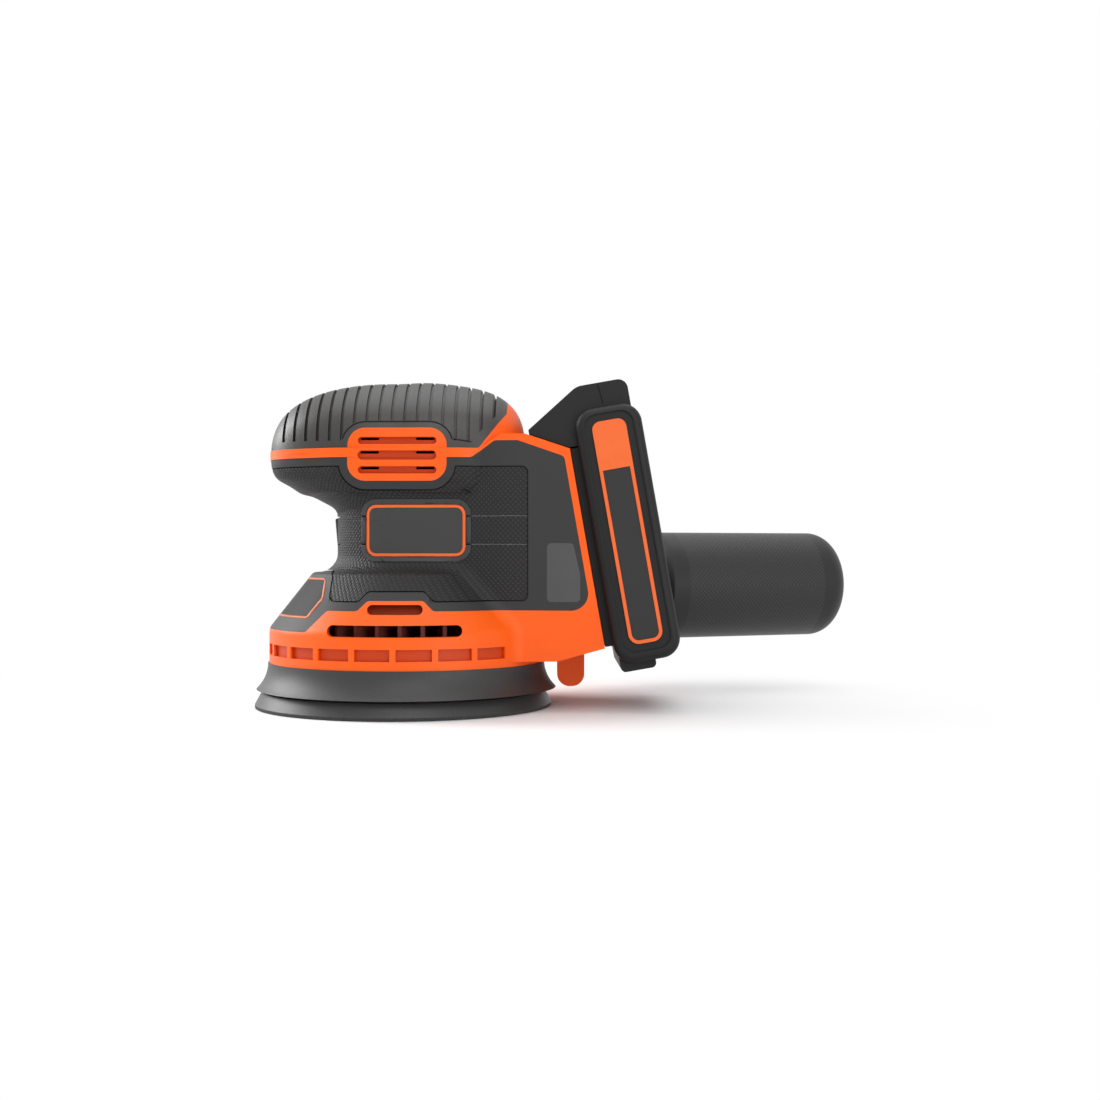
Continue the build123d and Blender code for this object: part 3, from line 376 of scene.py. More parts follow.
def inside_box(tree, place, low, high, corner, edge=BORDER_MM):
    """One inside a rounded box in side view and zero outside, given in mm."""
    middle = Vector((low[0] + high[0], 0, low[1] + high[1])) * MM / 2
    half = Vector((high[0] - low[0], 2 * FAR_MM, high[1] - low[1])) * MM / 2
    core = half - Vector((1, 0, 1)) * corner * MM
    shift = add_node(tree, "ShaderNodeVectorMath", {0: place, 1: middle}, operation="SUBTRACT")
    size = add_node(tree, "ShaderNodeVectorMath", {0: shift.outputs["Vector"]}, operation="ABSOLUTE")
    past = add_node(tree, "ShaderNodeVectorMath", {
        0: size.outputs["Vector"], 1: core}, operation="SUBTRACT")
    beyond = add_node(tree, "ShaderNodeVectorMath", {
        0: past.outputs["Vector"], 1: (0, 0, 0)}, operation="MAXIMUM")
    reach = add_node(tree, "ShaderNodeVectorMath", {0: beyond.outputs["Vector"]}, operation="LENGTH")
    return add_node(tree, "ShaderNodeMapRange", {
        "Value": reach.outputs["Value"], "From Min": (corner + edge) * MM,
        "From Max": (corner - edge) * MM}).outputs["Result"]


print("masks fade over", 2 * BORDER_MM, "mm")

# %% [markdown]
# ## Where the knurl lies
# The hand rests on a field of small raised diamonds with a smooth border. The field is a rounded box
# in side view, less three rounded boxes that stay smooth, as the CAD model's thin grooves frame it.
# A pattern that is only projected from the side would smear where the grip turns away, so the
# diamonds run on round the grip with its breadth, and lie flat on the faces that look up or down.

# %% Knurled field
KNURL_MM = 1.5
KNURL_WRAP = 0.6
LYING_FROM, LYING_TO = 0.68, 0.72
FIELD = ((-FAR_MM, 44.9), (52.0, 99.6), 2.6)
SMOOTH_BOXES = [
    ((-FAR_MM, -FAR_MM), (-27.5, 57.1), 2.6),
    ((-24.2, 90.1), (22.6, 118.3), 10.4),
    ((-13.2, -FAR_MM), (13.2, 48.9), 2.6),
]


def knurl_field(tree, place):
    """One on the field of diamonds and zero on its smooth border."""
    field = inside_box(tree, place, *FIELD)
    for box in SMOOTH_BOXES:
        spare = add_node(tree, "ShaderNodeMath", {
            0: 1.0, 1: inside_box(tree, place, *box)}, operation="SUBTRACT")
        field = add_node(tree, "ShaderNodeMath", {
            0: field, 1: spare.outputs["Value"]}, operation="MULTIPLY").outputs["Value"]
    return field


def wrapped_diamonds(tree, place):
    """Height of the diamonds, run round the upright faces and laid flat on the lying ones."""
    axes = axes_of(tree, place)
    breadth = add_node(tree, "ShaderNodeMath", {0: axes["Y"]}, operation="ABSOLUTE")
    girth = add_node(tree, "ShaderNodeMath", {
        0: breadth.outputs["Value"], 1: KNURL_WRAP, 2: axes["X"]}, operation="MULTIPLY_ADD")
    wrapped = add_node(tree, "ShaderNodeCombineXYZ", {
        "X": girth.outputs["Value"], "Z": axes["Z"]}).outputs["Vector"]
    upright = crossed_ridges(tree, [(wrapped, (1, 0, 1)), (wrapped, (1, 0, -1))], KNURL_MM)
    flat = crossed_ridges(tree, [(place, (1, 1, 0)), (place, (1, -1, 0))], KNURL_MM)
    normal = add_node(tree, "ShaderNodeTexCoord").outputs["Normal"]
    facing = add_node(tree, "ShaderNodeSeparateXYZ", {"Vector": normal})
    slope = add_node(tree, "ShaderNodeMath", {0: facing.outputs["Z"]}, operation="ABSOLUTE")
    lying = add_node(tree, "ShaderNodeMapRange", {
        "Value": slope.outputs["Value"], "From Min": LYING_FROM, "From Max": LYING_TO})
    return add_node(tree, "ShaderNodeMix", {
        "Factor": lying.outputs["Result"], "A": upright, "B": flat},
        data_type="FLOAT").outputs["Result"]


print("knurl pitch", KNURL_MM, "mm, with", len(SMOOTH_BOXES), "smooth boxes cut out of its field")

# %% [markdown]
# ## Knurled rubber
# The side grips are the same elastomer as the palm cap. One material serves both sides: inside the
# field the diamonds give the height and the colour, with painted shade in the grooves between them,
# and outside it a fine skin does.

# %% Knurled rubber
KNURL_DEPTH_MM, SKIN_DEPTH_MM = 0.28, 0.03
KNURL_STRENGTH = 0.8
FINE_SKIN_MM = 0.6


def knurled_rubber(name, groove, ridge, smooth, roughness):
    """Grip rubber with a field of diamonds inside its smooth border, painted shade in their grooves."""
    material, tree, shader, place = start_material(name, IOR=1.45, Specular_IOR_Level=0.35)
    field = knurl_field(tree, place)
    diamonds = wrapped_diamonds(tree, place)
    skin = add_node(tree, "ShaderNodeTexNoise", {
        "Vector": place, "Scale": per_mm(FINE_SKIN_MM), "Detail": 2.0}).outputs["Fac"]
    # The grooves between the diamonds get the darker colour: painted shade.
    cut = add_node(tree, "ShaderNodeMix", {
        "Factor": diamonds, "A": linear(groove), "B": linear(ridge)}, data_type="RGBA")
    tint = add_node(tree, "ShaderNodeMix", {
        "Factor": field, "A": linear(smooth), "B": cut.outputs["Result"]}, data_type="RGBA")
    height = add_node(tree, "ShaderNodeMix", {
        "Factor": field, "A": skin, "B": diamonds}, data_type="FLOAT")
    depth = add_node(tree, "ShaderNodeMapRange", {
        "Value": field, "To Min": SKIN_DEPTH_MM * MM, "To Max": KNURL_DEPTH_MM * MM})
    bump = add_node(tree, "ShaderNodeBump", {
        "Height": height.outputs["Result"], "Strength": KNURL_STRENGTH,
        "Distance": depth.outputs["Result"]})
    gloss = add_node(tree, "ShaderNodeMapRange", {
        "Value": skin, "To Min": roughness - GRAIN_SWING, "To Max": roughness + GRAIN_SWING})
    feed(tree, shader, {"Base Color": tint.outputs["Result"], "Roughness": gloss.outputs["Result"],
                        "Normal": bump.outputs["Normal"]})
    return material


# Knurled elastomer gives a dull dark grey that sparkles a little in its field of diamonds; its first,
# darkest colour is painted shade in the grooves.
side_grip = knurled_rubber(
    "grip_elastomer_knurled", "#161515", "#2e2d2d", "#303030", roughness=0.55)
node_finish["grip_left"] = side_grip
node_finish["grip_right"] = side_grip
print("knurl", KNURL_DEPTH_MM, "mm deep on the side grips")

# %% [markdown]
# ## Woven sleeve
# The sleeve of the dust canister is rigid polypropylene, and its mould carries a fine woven pattern
# between two plain ends. The canister lies at a slant, so a Mapping node first turns and moves the
# coordinates on to its axis. There the angle times the radius gives the way round, and the same
# crossed ridges are laid on that unrolled sleeve. That needs no UV map, and the canister's round end
# cap can share it. The ridges of the weave are painted lighter than the plain ends, as painted highlight.

# %% Woven sleeve
DUCT_TURN = math.radians(22.0)
DUCT_OFFSET, DUCT_HEIGHT = 19.8, 48.9
SLEEVE_RADIUS = 25.0
WEAVE_MM = 1.4
WEAVE_FROM, WEAVE_TO, WEAVE_FADE = 133.0, 205.0, 1.0
WEAVE_DEPTH_MM = 0.15
WEAVE_STRENGTH = 0.6


def woven_sleeve(name, dark, light, roughness):
    """Polypropylene with a fine diamond weave round the canister, plain at both ends, its ridges a painted
    highlight.
    """
    material, tree, shader, place = start_material(
        name, IOR=1.5, Specular_IOR_Level=0.3, Roughness=roughness)
    axis_point = Vector((-DUCT_OFFSET * math.sin(DUCT_TURN),
                         DUCT_OFFSET * math.cos(DUCT_TURN), DUCT_HEIGHT)) * MM
    turned = add_node(tree, "ShaderNodeMapping", {
        "Vector": place, "Location": axis_point, "Rotation": (0, 0, DUCT_TURN)}, vector_type="TEXTURE")
    axes = axes_of(tree, turned.outputs["Vector"])
    angle = add_node(tree, "ShaderNodeMath", {0: axes["Z"], 1: axes["Y"]}, operation="ARCTAN2")
    arc = add_node(tree, "ShaderNodeMath", {
        0: angle.outputs["Value"], 1: SLEEVE_RADIUS * MM}, operation="MULTIPLY")
    unrolled = add_node(tree, "ShaderNodeCombineXYZ", {
        "X": axes["X"], "Y": arc.outputs["Value"]}).outputs["Vector"]
    weave = crossed_ridges(tree, [(unrolled, (1, 1, 0)), (unrolled, (1, -1, 0))], WEAVE_MM)
    band = inside_ramps(tree, axes, [("X", WEAVE_FROM, WEAVE_FROM + WEAVE_FADE),
                                     ("X", WEAVE_TO + WEAVE_FADE, WEAVE_TO)])
    lift = add_node(tree, "ShaderNodeMath", {
        0: weave, 1: band}, operation="MULTIPLY").outputs["Value"]
    # The weave's ridges get the lighter colour: painted highlight.
    tint = add_node(tree, "ShaderNodeMix", {
        "Factor": lift, "A": linear(dark), "B": linear(light)}, data_type="RGBA")
    bump = add_node(tree, "ShaderNodeBump", {
        "Height": lift, "Strength": WEAVE_STRENGTH, "Distance": WEAVE_DEPTH_MM * MM})
    feed(tree, shader, {"Base Color": tint.outputs["Result"], "Normal": bump.outputs["Normal"]})
    return material


# Polypropylene with a woven mould gives a dark tube that glitters finely along its highlight.
# Its second, lighter colour is painted highlight on the weave's ridges.
woven = woven_sleeve("canister_polypropylene_woven_mould", "#242424", "#3a3a3a", roughness=0.45)
node_finish["canister_sleeve"] = woven
node_finish["canister_cap"] = woven
print("weave from", WEAVE_FROM, "to", WEAVE_TO, "mm along the canister's axis")

# %% [markdown]
# ## Painted shade in the recesses of the shell
# The vents and the pockets round the base are the same orange nylon, but they are sunk and lie in
# shade, so they read as a deeper red. Separate pieces could be cut out for them. It is simpler to
# paint that shade into the shell's material as a deeper colour, by the place in the shell, with the
# masks made above.

# %% Painted shade of the recesses
VENTS = ((97.9, 2.9), (103.8, 3.7), (109.7, 2.9))
VENT_FRONT, VENT_REAR, VENT_FADE = -16.6, 15.1, 0.1
POCKETS = [("R", 57.3, 56.7), ("X", 43.3, 42.9), ("Z", 22.1, 22.4), ("Z", 27.2, 26.9)]


def paint_recess_shade(material, deep):
    """Mixes a deeper colour into a material inside the recesses, as painted shade."""
    tree = material.node_tree
    base = tree.nodes["Principled BSDF"].inputs["Base Color"]
    place = add_node(tree, "ShaderNodeTexCoord").outputs["Object"]
    share = inside_ramps(tree, axes_of(tree, place), POCKETS)
    for height, opening in VENTS:
        vent = inside_box(tree, place, (VENT_FRONT, height - opening / 2),
                          (VENT_REAR, height + opening / 2), opening / 2, VENT_FADE)
        share = add_node(tree, "ShaderNodeMath", {
            0: share, 1: vent}, operation="MAXIMUM").outputs["Value"]
    tint = add_node(tree, "ShaderNodeMix", {
        "Factor": share, "A": base.links[0].from_socket, "B": linear(deep)}, data_type="RGBA")
    tree.links.new(tint.outputs["Result"], base)


# The deeper red in the sunk vents and pockets is painted shade.
paint_recess_shade(finish["orange_shell"], "#c63f02")
print(len(VENTS), "vents and the base's pockets deepened")

# %% [markdown]
# ## Handing out the finishes
# Every CAD node comes with one material slot, named for what it is made of. A loop puts the finish
# of that name in it, or the node's own finish where it has one, so no node is left in plain grey.

# %% Finish for every node
for name, node in nodes.items():
    slot = node.material_slots[0].material.name.split(".")[0]
    node.material_slots[0].material = node_finish.get(name, finish[slot])
print("finished", len(nodes), "nodes")

# %% [markdown]
# ## Outlines in side view
# The printed frames and the badge's rim are bands between two rounded outlines, seen from the side.
# An outline is worked out from two opposite corners and its radii. Each of its sides also stands for
# an upright plane, which can cut a mesh, and for a test of what lies inside.

# %% Outlines
def rounded_outline(low, high, radii, steps=6):
    """Rounded rectangle as points in mm, anticlockwise, radii from the lower left corner."""
    corners = ((low[0], low[1], 1, 1, 180), (high[0], low[1], -1, 1, 270),
               (high[0], high[1], -1, -1, 0), (low[0], high[1], 1, -1, 90))
    points = []
    for (x, z, inward_x, inward_z, start), radius in zip(corners, radii):
        for step in range(steps + 1 if radius else 1):
            angle = math.radians(start + 90.0 * step / steps)
            points.append(Vector((x + radius * (inward_x + math.cos(angle)) if radius else x,
                                  z + radius * (inward_z + math.sin(angle)) if radius else z)))
    return points


def sides_of(outline):
    """Each side of a convex outline as a point and an outward normal, in metres in the frame."""
    for here, there in zip(outline, outline[1:] + outline[:1]):
        run = there - here
        yield Vector((here.x, 0, here.y)) * MM, Vector((run.y, 0, -run.x)).normalized()


def holds(outline, point):
    """Whether a point lies inside a convex outline in side view."""
    return all((point - place).dot(normal) <= 0 for place, normal in sides_of(outline))


print("a badge outline has", len(rounded_outline((0, 0), (40, 20), (4, 4, 4, 4))), "points")

# %% [markdown]
# ## Trim that follows a face
# A printed line or a thin rim lies on a face that is already curved in the CAD model. A straight
# strip that is bent to it would float or sink somewhere, so a copy of that face is trimmed to the
# band with bisecting planes. The copy is sunk a little, extruded, and raised along its normals, which
# gives it a closed thickness and keeps it seated everywhere.

# %% Trimming a copy of a face
MERGE_MM, CUT_MM = 0.001, 0.0005
LINE_SINK = 0.1


def face_copy(node_name, shows):
    """Merged copy of the faces of a node that pass a test."""
    sheet = bmesh.new()
    sheet.from_mesh(nodes[node_name].data)
    bmesh.ops.remove_doubles(sheet, verts=sheet.verts, dist=MERGE_MM * MM)
    sheet.normal_update()
    hidden = [face for face in sheet.faces if not shows(face)]
    bmesh.ops.delete(sheet, geom=hidden, context="FACES")
    return sheet


def score(sheet, outline, clear):
    """Cuts a sheet along every side of an outline, and clears what lies outside if asked."""
    for place, normal in sides_of(outline):
        everything = sheet.verts[:] + sheet.edges[:] + sheet.faces[:]
        bmesh.ops.bisect_plane(sheet, geom=everything, dist=CUT_MM * MM, plane_co=place,
                               plane_no=normal, clear_outer=clear)


def thicken(sheet, lift_mm):
    """Sinks a sheet a little and extrudes it to a height over its face."""
    sheet.normal_update()
    for vert in sheet.verts:
        vert.co -= vert.normal * LINE_SINK * MM
    raised = bmesh.ops.extrude_face_region(sheet, geom=sheet.faces[:], use_keep_orig=True)["geom"]
    sheet.normal_update()
    pulls = {}
    for face in raised:
        if isinstance(face, bmesh.types.BMFace):
            for vert in face.verts:
                pulls[vert] = pulls.get(vert, Vector()) + face.normal
    for vert, pull in pulls.items():
        vert.co += pull.normalized() * (LINE_SINK + lift_mm) * MM
    bmesh.ops.recalc_face_normals(sheet, faces=sheet.faces)


print("trim is sunk", LINE_SINK, "mm into its face")

# %% [markdown]
# ## From a mesh to a piece
# A new piece has to ride on a body, so that it moves with it, and to carry its material. Every added
# mesh and curve goes through one function for that, and its place stays in its data, because the
# export sets every object to the origin.

# %% Adding a piece
def add_piece(name, data, body, material):
    """Puts a mesh or a curve in the scene as a piece that rides on a body."""
    piece = bpy.data.objects.new(name, data)
    bpy.context.scene.collection.objects.link(piece)
    data.materials.append(material)
    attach(piece, body)


def add_solid(name, solid, body, material):
    """Turns a bmesh into a piece and says how well it is closed."""
    data = bpy.data.meshes.new(name)
    solid.to_mesh(data)
    open_edges = sum(not edge.is_manifold for edge in solid.edges)
    print(name, len(solid.faces), "faces,", open_edges, "open edges")
    solid.free()
    add_piece(name, data, body, material)


def trim_piece(name, sheet, outer, inner, lift_mm, body, material):
    """Thin raised piece on the band of a sheet between two outlines."""
    score(sheet, outer, True)
    score(sheet, inner, False)
    middle = [face for face in sheet.faces if holds(inner, face.calc_center_median())]
    bmesh.ops.delete(sheet, geom=middle, context="FACES")
    thicken(sheet, lift_mm)
    add_solid(name, sheet, body, material)


print("piece helpers ready")

# %% [markdown]
# ## Frame of the badge
# The badge on the side grip has a printed orange frame. It could be a second colour in the
# plate's material, but a band of its own has a crisp edge at any distance.

# %% Badge frame
LINE_LIFT = 0.12
LINE_WIDTH = 1.2
BADGE_LOW, BADGE_HIGH = Vector((-14.0, 63.0)), Vector((26.6, 84.0))
BADGE_CORNER = 4.0
SIDE_FACING = -0.5

# Printed ink gives a flat orange, a little paler than the nylon.
print_orange = moulded_plastic(
    "orange_ink_printed", "#e8642a", "#ee6c30",
    roughness=0.45, specular=0.3, grain_mm=0.4, depth_mm=0.01)
inset = Vector((LINE_WIDTH, LINE_WIDTH))
trim_piece("badge_frame_line", face_copy("badge_plate", lambda face: face.normal.y < SIDE_FACING),
           rounded_outline(BADGE_LOW, BADGE_HIGH, [BADGE_CORNER] * 4),
           rounded_outline(BADGE_LOW + inset, BADGE_HIGH - inset, [BADGE_CORNER - LINE_WIDTH] * 4),
           LINE_LIFT, "housing", print_orange)

# %% [markdown]
# ## Line of the front plate
# The front plate bends round the base's cone, and its printed line runs round its rear end with one
# slanted corner. The line goes on round the front, so its outline simply ends far ahead of the tool.
# Only the faces that look out of the cone are copied, not the plate's rim.

# %% Front plate line
CONE_NORMAL = Vector((0.785, 0.0, 0.62))
CONE_MATCH = 0.9
FRONT_LINE = 0.8
FRONT_FAR = -90.0
FRONT_LOW, FRONT_HIGH = 38.3, 54.2
FRONT_REAR = -30.0
FRONT_SLANT = Vector((-36.0, 46.0))


def on_cone(face):
    """Whether a face looks out of the base's cone."""
    spot = face.calc_center_median()
    out = Vector((spot.x, spot.y, 0)).normalized() * CONE_NORMAL.x + Vector((0, 0, CONE_NORMAL.z))
    return face.normal.dot(out) > CONE_MATCH


def front_outline(margin):
    """Outline of the front plate with a slanted lower corner at its rear, drawn in by a margin."""
    low, high, rear = FRONT_LOW + margin, FRONT_HIGH - margin, FRONT_REAR - margin
    slant = FRONT_SLANT + Vector((-margin, margin)) / 2
    return [Vector(p) for p in (
        (FRONT_FAR, low), (slant.x, low), (rear, slant.y), (rear, high), (FRONT_FAR, high))]


# Thinner ink lets the black plate dull the orange.
faded_orange = moulded_plastic(
    "orange_ink_printed_thin", "#c8683e", "#d07046",
    roughness=0.45, specular=0.3, grain_mm=0.4, depth_mm=0.01)
trim_piece("front_plate_line", face_copy("front_plate", on_cone),
           front_outline(0.0), front_outline(FRONT_LINE),
           LINE_LIFT, "housing", faded_orange)

# %% [markdown]
# ## The battery's label
# The label is an orange frame with a block at its top, printed round a dark window. The battery's
# flank is flat, so the film starts from a flat grid and not from a copy of a face. Its outline is set
# out square to the battery and then leaned back by the angle of the battery, because the pack sits at
# a slant on the tool.

# %% Battery label
LEAN = math.radians(10.0)
PACK_FOOT = Vector((76.1, 65.0))
LABEL_LOW, LABEL_HIGH = Vector((10.0, -40.0)), Vector((23.8, 50.5))
LABEL_FRAME, LABEL_BLOCK = 1.4, 19.7
LABEL_LOW_CORNER, LABEL_HIGH_CORNER = 4.2, 3.4
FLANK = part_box("battery_rear_case")[0][1]
FILM_MIDDLE = Vector((90.0, 70.0))
FILM_REACH = 101.0


def leaned(outline):
    """Points along and square to the battery, as side-view points of the tool."""
    return [PACK_FOOT + Vector((p.x * math.cos(LEAN) - p.y * math.sin(LEAN),
                                p.x * math.sin(LEAN) + p.y * math.cos(LEAN))) for p in outline]


film = bmesh.new()
film_place = Matrix.Translation((FILM_MIDDLE.x * MM, FLANK, FILM_MIDDLE.y * MM))
bmesh.ops.create_grid(film, x_segments=1, y_segments=1, size=FILM_REACH * MM,
                      matrix=film_place @ Matrix.Rotation(math.pi / 2, 4, "X"))
window_low = LABEL_LOW + Vector((LABEL_FRAME, LABEL_FRAME))
window_high = LABEL_HIGH - Vector((LABEL_FRAME, LABEL_BLOCK))
label_corners = [LABEL_LOW_CORNER] * 2 + [LABEL_HIGH_CORNER] * 2
window_corners = [LABEL_LOW_CORNER - LABEL_FRAME] * 2 + [0, 0]
trim_piece("label_frame", film,
           leaned(rounded_outline(LABEL_LOW, LABEL_HIGH, label_corners)),
           leaned(rounded_outline(window_low, window_high, window_corners)),
           LINE_LIFT, "battery", print_orange)

# %% [markdown]
# ## Rim of the badge
# The badge sits in a raised rim, as smooth as the badge itself. It is one more band on a copy of a
# face, this time the grip's. Two thin grooves of the grip run into it, and their floors are left out
# of the copy, so that the rim has no steps.

# %% Badge rim
RIM_OUT, RIM_GAP = Vector((2.2, 2.2)), Vector((0.22, 0.22))
RIM_LIFT = 0.35
GROOVES = (79.4, 67.9)
GROOVE_HALF = 0.3


def on_flank(face):
    """Whether a face of the side grip looks to the camera and isn't the floor of a thin groove."""
    height = face.calc_center_median().z / MM
    return face.normal.y < SIDE_FACING and all(abs(height - groove) > GROOVE_HALF for groove in GROOVES)


trim_piece("badge_rim", face_copy("grip_left", on_flank),
           rounded_outline(BADGE_LOW - RIM_OUT, BADGE_HIGH + RIM_OUT, [BADGE_CORNER + RIM_OUT.x] * 4),
           rounded_outline(BADGE_LOW - RIM_GAP, BADGE_HIGH + RIM_GAP, [BADGE_CORNER] * 4),
           RIM_LIFT, "housing", finish["plate_dark"])

# %% [markdown]
# ## Fine lines on the surface
# Several lines on the tool are too fine for a band: the line at the ends of the cap's ribs, a seam
# across the battery's head, and the light lines in the grip's grooves, which are painted highlights.
# Drawn in a material, each would need its own mask and would have no relief. Each is a thin bead
# instead, a curve with a round bevel, whose points are cast on the CAD face from the side so that it
# lies half sunk in it.

# %% Beads on the surface
NEAR, FAR = -1, 1
BEAD_STEP = 0.8
BEAD_ROUNDNESS = 2


def spots_along(path):
    """Evenly spaced points along a path."""
    spots = []
    for here, there in zip(path, path[1:]):
        steps = max(1, round((there - here).length / BEAD_STEP))
        spots += [here.lerp(there, step / steps) for step in range(steps)]
    return spots + [path[-1]]


def surface_bead(name, node_name, paths, radius_mm, body, material):
    """Bead along side-view paths that are cast on a node from a side."""
    data = bpy.data.curves.new(name, "CURVE")
    data.dimensions = "3D"
    data.bevel_depth = radius_mm * MM
    data.bevel_resolution = BEAD_ROUNDNESS
    data.use_fill_caps = True
    sheet = face_copy(node_name, lambda face: True)
    skin = BVHTree.FromBMesh(sheet)
    sheet.free()
    for side, path in paths:
        spots = spots_along(path)
        spline = data.splines.new("POLY")
        spline.points.add(len(spots) - 1)
        for point, spot in zip(spline.points, spots):
            start = Vector((spot.x, side * FAR_MM, spot.y)) * MM
            hit = skin.ray_cast(start, Vector((0, -side, 0)))[0]
            point.co = (*hit, 1.0)
    print(name, sum(len(spline.points) for spline in data.splines), "points")
    add_piece(name, data, body, material)


print("bead helpers ready")

# %% [markdown]
# ## Dark lines: the ends of the ribs and the battery's seam
# The ribs of the palm cap stop at a fine line that arches over the vents and runs on to the rear. It
# is the top of a rounded outline with one straight stretch added. The seam across the battery's head
# is the joint of two mouldings, and a straight bead is enough for it.

# %% Dark lines
RIB_END_LOW, RIB_END_HIGH, RIB_END_ROUND = 109.35, 117.45, 9.55
RIB_END_FRONT, RIB_END_REAR, RIB_FIELD_REAR = -23.35, 21.75, 29.0
RIB_LINE_RADIUS, SEAM_RADIUS = 0.28, 0.2
SEAM = [Vector((82.2, 124.9)), Vector((80.1, 132.6))]

# A gap in a moulding is almost black, because hardly any light comes back out of it.
line_rubber = elastomer(
    "gap_elastomer_moulded", "#0c0c0c", "#121212",
    roughness=0.7, skin_mm=0.5, depth_mm=0.02, specular=0.2)
arch = rounded_outline((RIB_END_FRONT, RIB_END_LOW), (RIB_END_REAR, RIB_END_HIGH),
                       [0, 0, RIB_END_ROUND, RIB_END_ROUND])
arch = [Vector((RIB_FIELD_REAR, RIB_END_LOW))] + [p for p in arch[2:] if p.y > RIB_END_LOW]
surface_bead("cap_rib_line", "top_grip", [(NEAR, arch), (FAR, arch)], RIB_LINE_RADIUS,
             "housing", line_rubber)
surface_bead("battery_head_seam", "battery_rear_case", [(NEAR, SEAM), (FAR, SEAM)], SEAM_RADIUS,
             "battery", line_rubber)

# %% [markdown]
# ## Painted highlights in the grip's grooves
# Two thin grooves run along each side grip, and a light line shows in them: the glint on each
# groove's lip, drawn as a pale bead of painted highlight. On the near side the badge's rim interrupts
# them, so there each groove has two stretches.

# %% Painted highlights in the grooves
LINE_FRONT, LINE_REAR = -27.0, 51.4
GRIP_LINE_RADIUS = 0.3
RIM_FRONT, RIM_REAR = BADGE_LOW.x - RIM_OUT.x, BADGE_HIGH.x + RIM_OUT.x

# The pale bead is a painted highlight, the glint on a groove's lip, so it is much paler than the grip.
grip_painted_highlight = elastomer(
    "line_elastomer_painted_highlight", "#807f7f", "#8a8989", roughness=0.35, skin_mm=0.5, depth_mm=0.02)
near_lines, far_lines = [], []
for height in GROOVES:
    near_lines.append((NEAR, [Vector((LINE_FRONT, height)), Vector((RIM_FRONT, height))]))
    near_lines.append((NEAR, [Vector((RIM_REAR, height)), Vector((LINE_REAR, height))]))
    far_lines.append((FAR, [Vector((LINE_FRONT, height)), Vector((LINE_REAR, height))]))
surface_bead("grip_left_painted_highlight", "grip_left", near_lines, GRIP_LINE_RADIUS,
             "housing", grip_painted_highlight)
surface_bead("grip_right_painted_highlight", "grip_right", far_lines, GRIP_LINE_RADIUS,
             "housing", grip_painted_highlight)

# %% [markdown]
# ## Floor of the short slot
# The short slot above the impeller is a blind recess on the real tool, but the CAD model's slot goes
# through the wall. A short piece of the shell's cone closes it from behind on each side. Two
# points give its height and slant, a spin about the motor axis makes the cone, and solidify gives it
# a wall. Its deep brown is painted shade.

# %% Slot floor
BAFFLE_LOW, BAFFLE_HIGH = Vector((51.7, 0, 36.6)), Vector((45.6, 0, 44.5))
BAFFLE_TURN = math.radians(29.0)
BAFFLE_STEPS = 12
BAFFLE_WALL = 0.6

cone = bmesh.new()
for side in (NEAR, FAR):
    first = side * math.pi / 2 - BAFFLE_TURN / 2
    out = Vector((math.cos(first), math.sin(first), 0))
    ends = [cone.verts.new((out * end.x + Vector((0, 0, end.z))) * MM) for end in (BAFFLE_LOW, BAFFLE_HIGH)]
    bmesh.ops.spin(cone, geom=ends + [cone.edges.new(ends)], axis=(0, 0, 1), cent=(0, 0, 0),
                   angle=BAFFLE_TURN, steps=BAFFLE_STEPS)
bmesh.ops.recalc_face_normals(cone, faces=cone.faces)
bmesh.ops.solidify(cone, geom=cone.faces[:], thickness=BAFFLE_WALL * MM)
bmesh.ops.recalc_face_normals(cone, faces=cone.faces)
# Nylon at the bottom of a slot lies in shade, so its orange is painted a deep brown: painted shade.
slot_painted_shade = moulded_plastic(
    "slot_nylon_painted_shade", "#6e2408", "#78290b",
    roughness=0.55, specular=0.2, grain_mm=0.45, depth_mm=0.05)
add_solid("slot_floor", cone, "housing", slot_painted_shade)

# %% [markdown]
# ## Camera
# The photograph is a level side view on white. The camera stands 600 mm off, a little below the
# middle of the tool's height, and its focal length in pixels gives the lens.

# %% Camera
FRAME_PIXELS = 1100
FOCAL_PIXELS = 1406.0
SENSOR_MM = 36.0
CAMERA_PLACE = Vector((60.8, -600.0, 65.6)) * MM

camera_data = bpy.data.cameras.new("photo_camera")
camera_data.sensor_width = SENSOR_MM
camera_data.lens = FOCAL_PIXELS / FRAME_PIXELS * SENSOR_MM
camera = bpy.data.objects.new("photo_camera", camera_data)
camera.location = CAMERA_PLACE
camera.rotation_euler = (math.pi / 2, 0.0, 0.0)
bpy.context.scene.collection.objects.link(camera)
bpy.context.scene.camera = camera
print("lens", round(camera_data.lens, 2), "mm")

# %% [markdown]
# ## White background
# The photograph's background is plain white. More light would bleach the tool, so the white is shown
# only to the rays that see the background itself. The floor's material and the world both use this.

# %% Rays that see the background
def background_rays(tree):
    """One for the rays that see the background itself: from the camera, a mirror or a clear part."""
    rays = add_node(tree, "ShaderNodeLightPath").outputs
    direct = add_node(tree, "ShaderNodeMath", {
        0: rays["Is Camera Ray"], 1: rays["Is Glossy Ray"]}, operation="MAXIMUM")
    return add_node(tree, "ShaderNodeMath", {
        0: direct.outputs["Value"], 1: rays["Is Transmission Ray"]}, operation="MAXIMUM").outputs["Value"]


print("white is for background rays only")

# %% [markdown]
# ## Floor
# The floor is pale matt paper that keeps the tool's soft shadow. Far from the tool it turns to plain
# white, so that no horizon shows. A wide disc just under the pad is enough for that. Its radius and
# the fade to white are in metres.

# %% Floor
FLOOR_RADIUS, FLOOR_SEGMENTS = 4.0, 96
FLOOR_DROP = 0.2
WHITE_START, WHITE_END = 0.1, 0.26

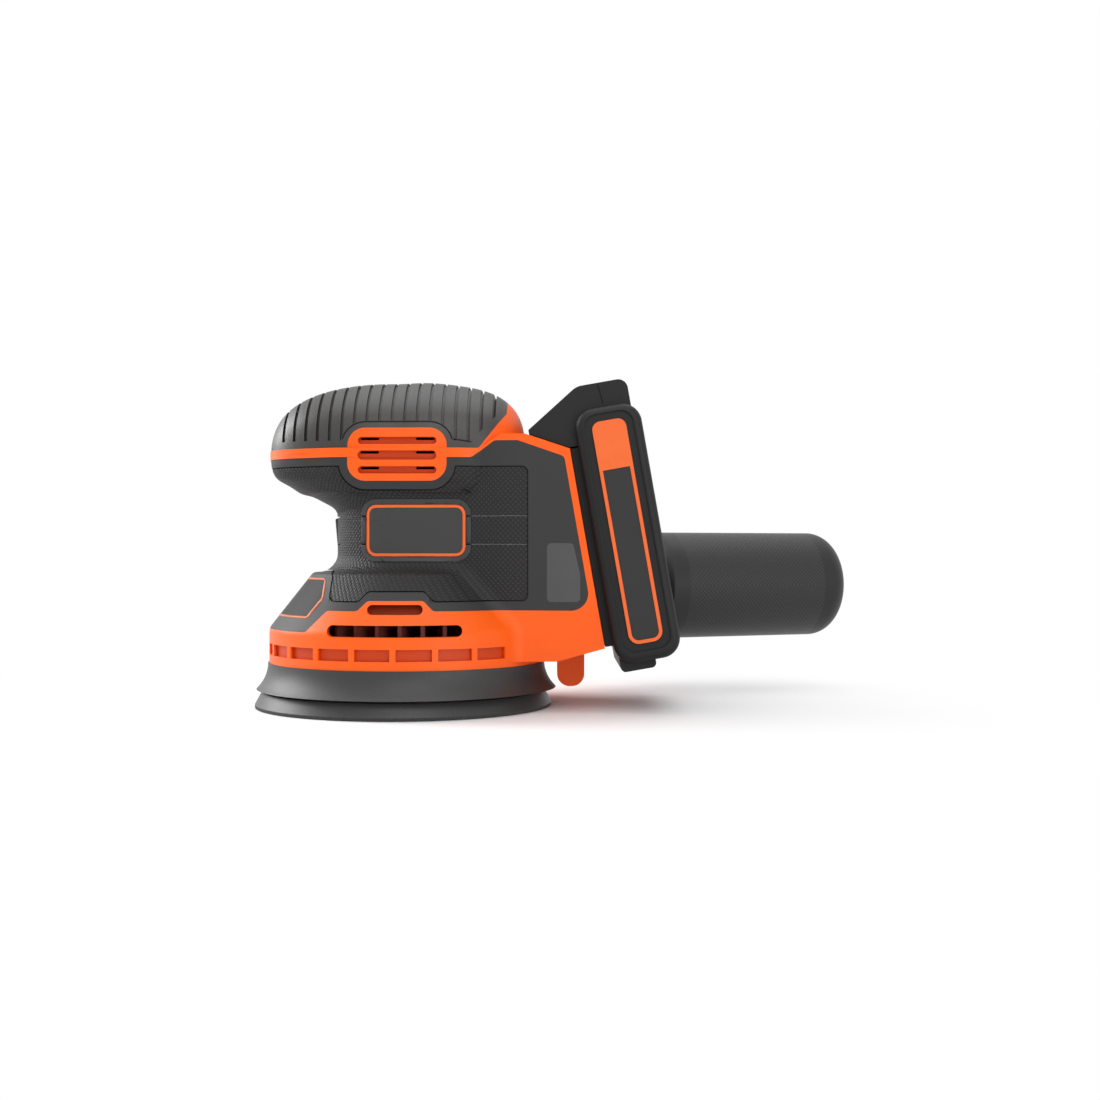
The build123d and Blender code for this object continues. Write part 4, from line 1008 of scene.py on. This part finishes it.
disc = bmesh.new()
bmesh.ops.create_circle(disc, cap_ends=True, segments=FLOOR_SEGMENTS, radius=FLOOR_RADIUS)
floor_data = bpy.data.meshes.new("studio_floor")
disc.to_mesh(floor_data)
disc.free()
floor = bpy.data.objects.new("studio_floor", floor_data)
floor.location.z = cad_box[0][2] - FLOOR_DROP * MM
bpy.context.scene.collection.objects.link(floor)

# Matt paper gives a pale ground without a reflection of the tool.
floor_paper, tree, paper, place = start_material(
    "floor_paper_matt", Base_Color=linear("#f4f4f4"), Roughness=0.9)
reach = add_node(tree, "ShaderNodeVectorMath", {0: place}, operation="LENGTH")
fade = add_node(tree, "ShaderNodeMapRange", {
    "Value": reach.outputs["Value"], "From Min": WHITE_START, "From Max": WHITE_END},
    interpolation_type="SMOOTHSTEP")
seen = add_node(tree, "ShaderNodeMath", {
    0: fade.outputs["Result"], 1: background_rays(tree)}, operation="MULTIPLY")
glow = add_node(tree, "ShaderNodeEmission", {"Color": (1, 1, 1, 1), "Strength": 1.0})
blend = add_node(tree, "ShaderNodeMixShader", {
    0: seen.outputs["Value"], 1: paper.outputs["BSDF"], 2: glow.outputs["Emission"]})
tree.links.new(blend.outputs["Shader"], tree.nodes["Material Output"].inputs["Surface"])
floor_data.materials.append(floor_paper)
print("floor at", round(floor.location.z / MM, 2), "mm")

# %% [markdown]
# ## World
# The world gives the even part of the light, as white walls round a small studio do. Its strength is
# one for the rays that see it as the background, and lower for the rays that light the tool.

# %% World
AMBIENT = 0.45

world = bpy.data.worlds.new("studio_white")
bpy.context.scene.world = world
world.use_nodes = True
tree = world.node_tree
background = tree.nodes["Background"]
background.inputs["Color"].default_value = (1, 1, 1, 1)
level = add_node(tree, "ShaderNodeMapRange", {
    "Value": background_rays(tree), "To Min": AMBIENT, "To Max": 1.0})
tree.links.new(level.outputs["Result"], background.inputs["Strength"])
print("ambient light", AMBIENT)

# %% [markdown]
# ## Lamps
# Four square softboxes light the tool: one from the camera's side and above, one overhead, one low
# on the battery's side, and one behind the nose that draws its edge. Wide area lamps keep the
# shadows soft, and each line gives a lamp's place in metres, its size in metres and its power in
# watts.

# %% Lamps
TARGET = Vector((40.0, 0.0, 60.0)) * MM
LAMPS = {
    "key_softbox": ((0.15, -0.85, 0.75), 0.7, 3.3),
    "top_softbox": ((0.05, 0.1, 1.0), 0.9, 4.5),
    "low_softbox": ((0.6, -0.75, 0.05), 0.5, 2.4),
    "rim_softbox": ((-0.75, 0.25, 0.45), 0.5, 7.2),
}
for name, (spot, size, power) in LAMPS.items():
    lamp_data = bpy.data.lights.new(name, "AREA")
    lamp_data.size = size
    lamp_data.energy = power
    lamp = bpy.data.objects.new(name, lamp_data)
    lamp.location = spot
    lamp.rotation_euler = (TARGET - Vector(spot)).to_track_quat("-Z", "Y").to_euler()
    bpy.context.scene.collection.objects.link(lamp)
bpy.context.scene.view_settings.view_transform = "Standard"
print("studio with", len(LAMPS), "lamps")
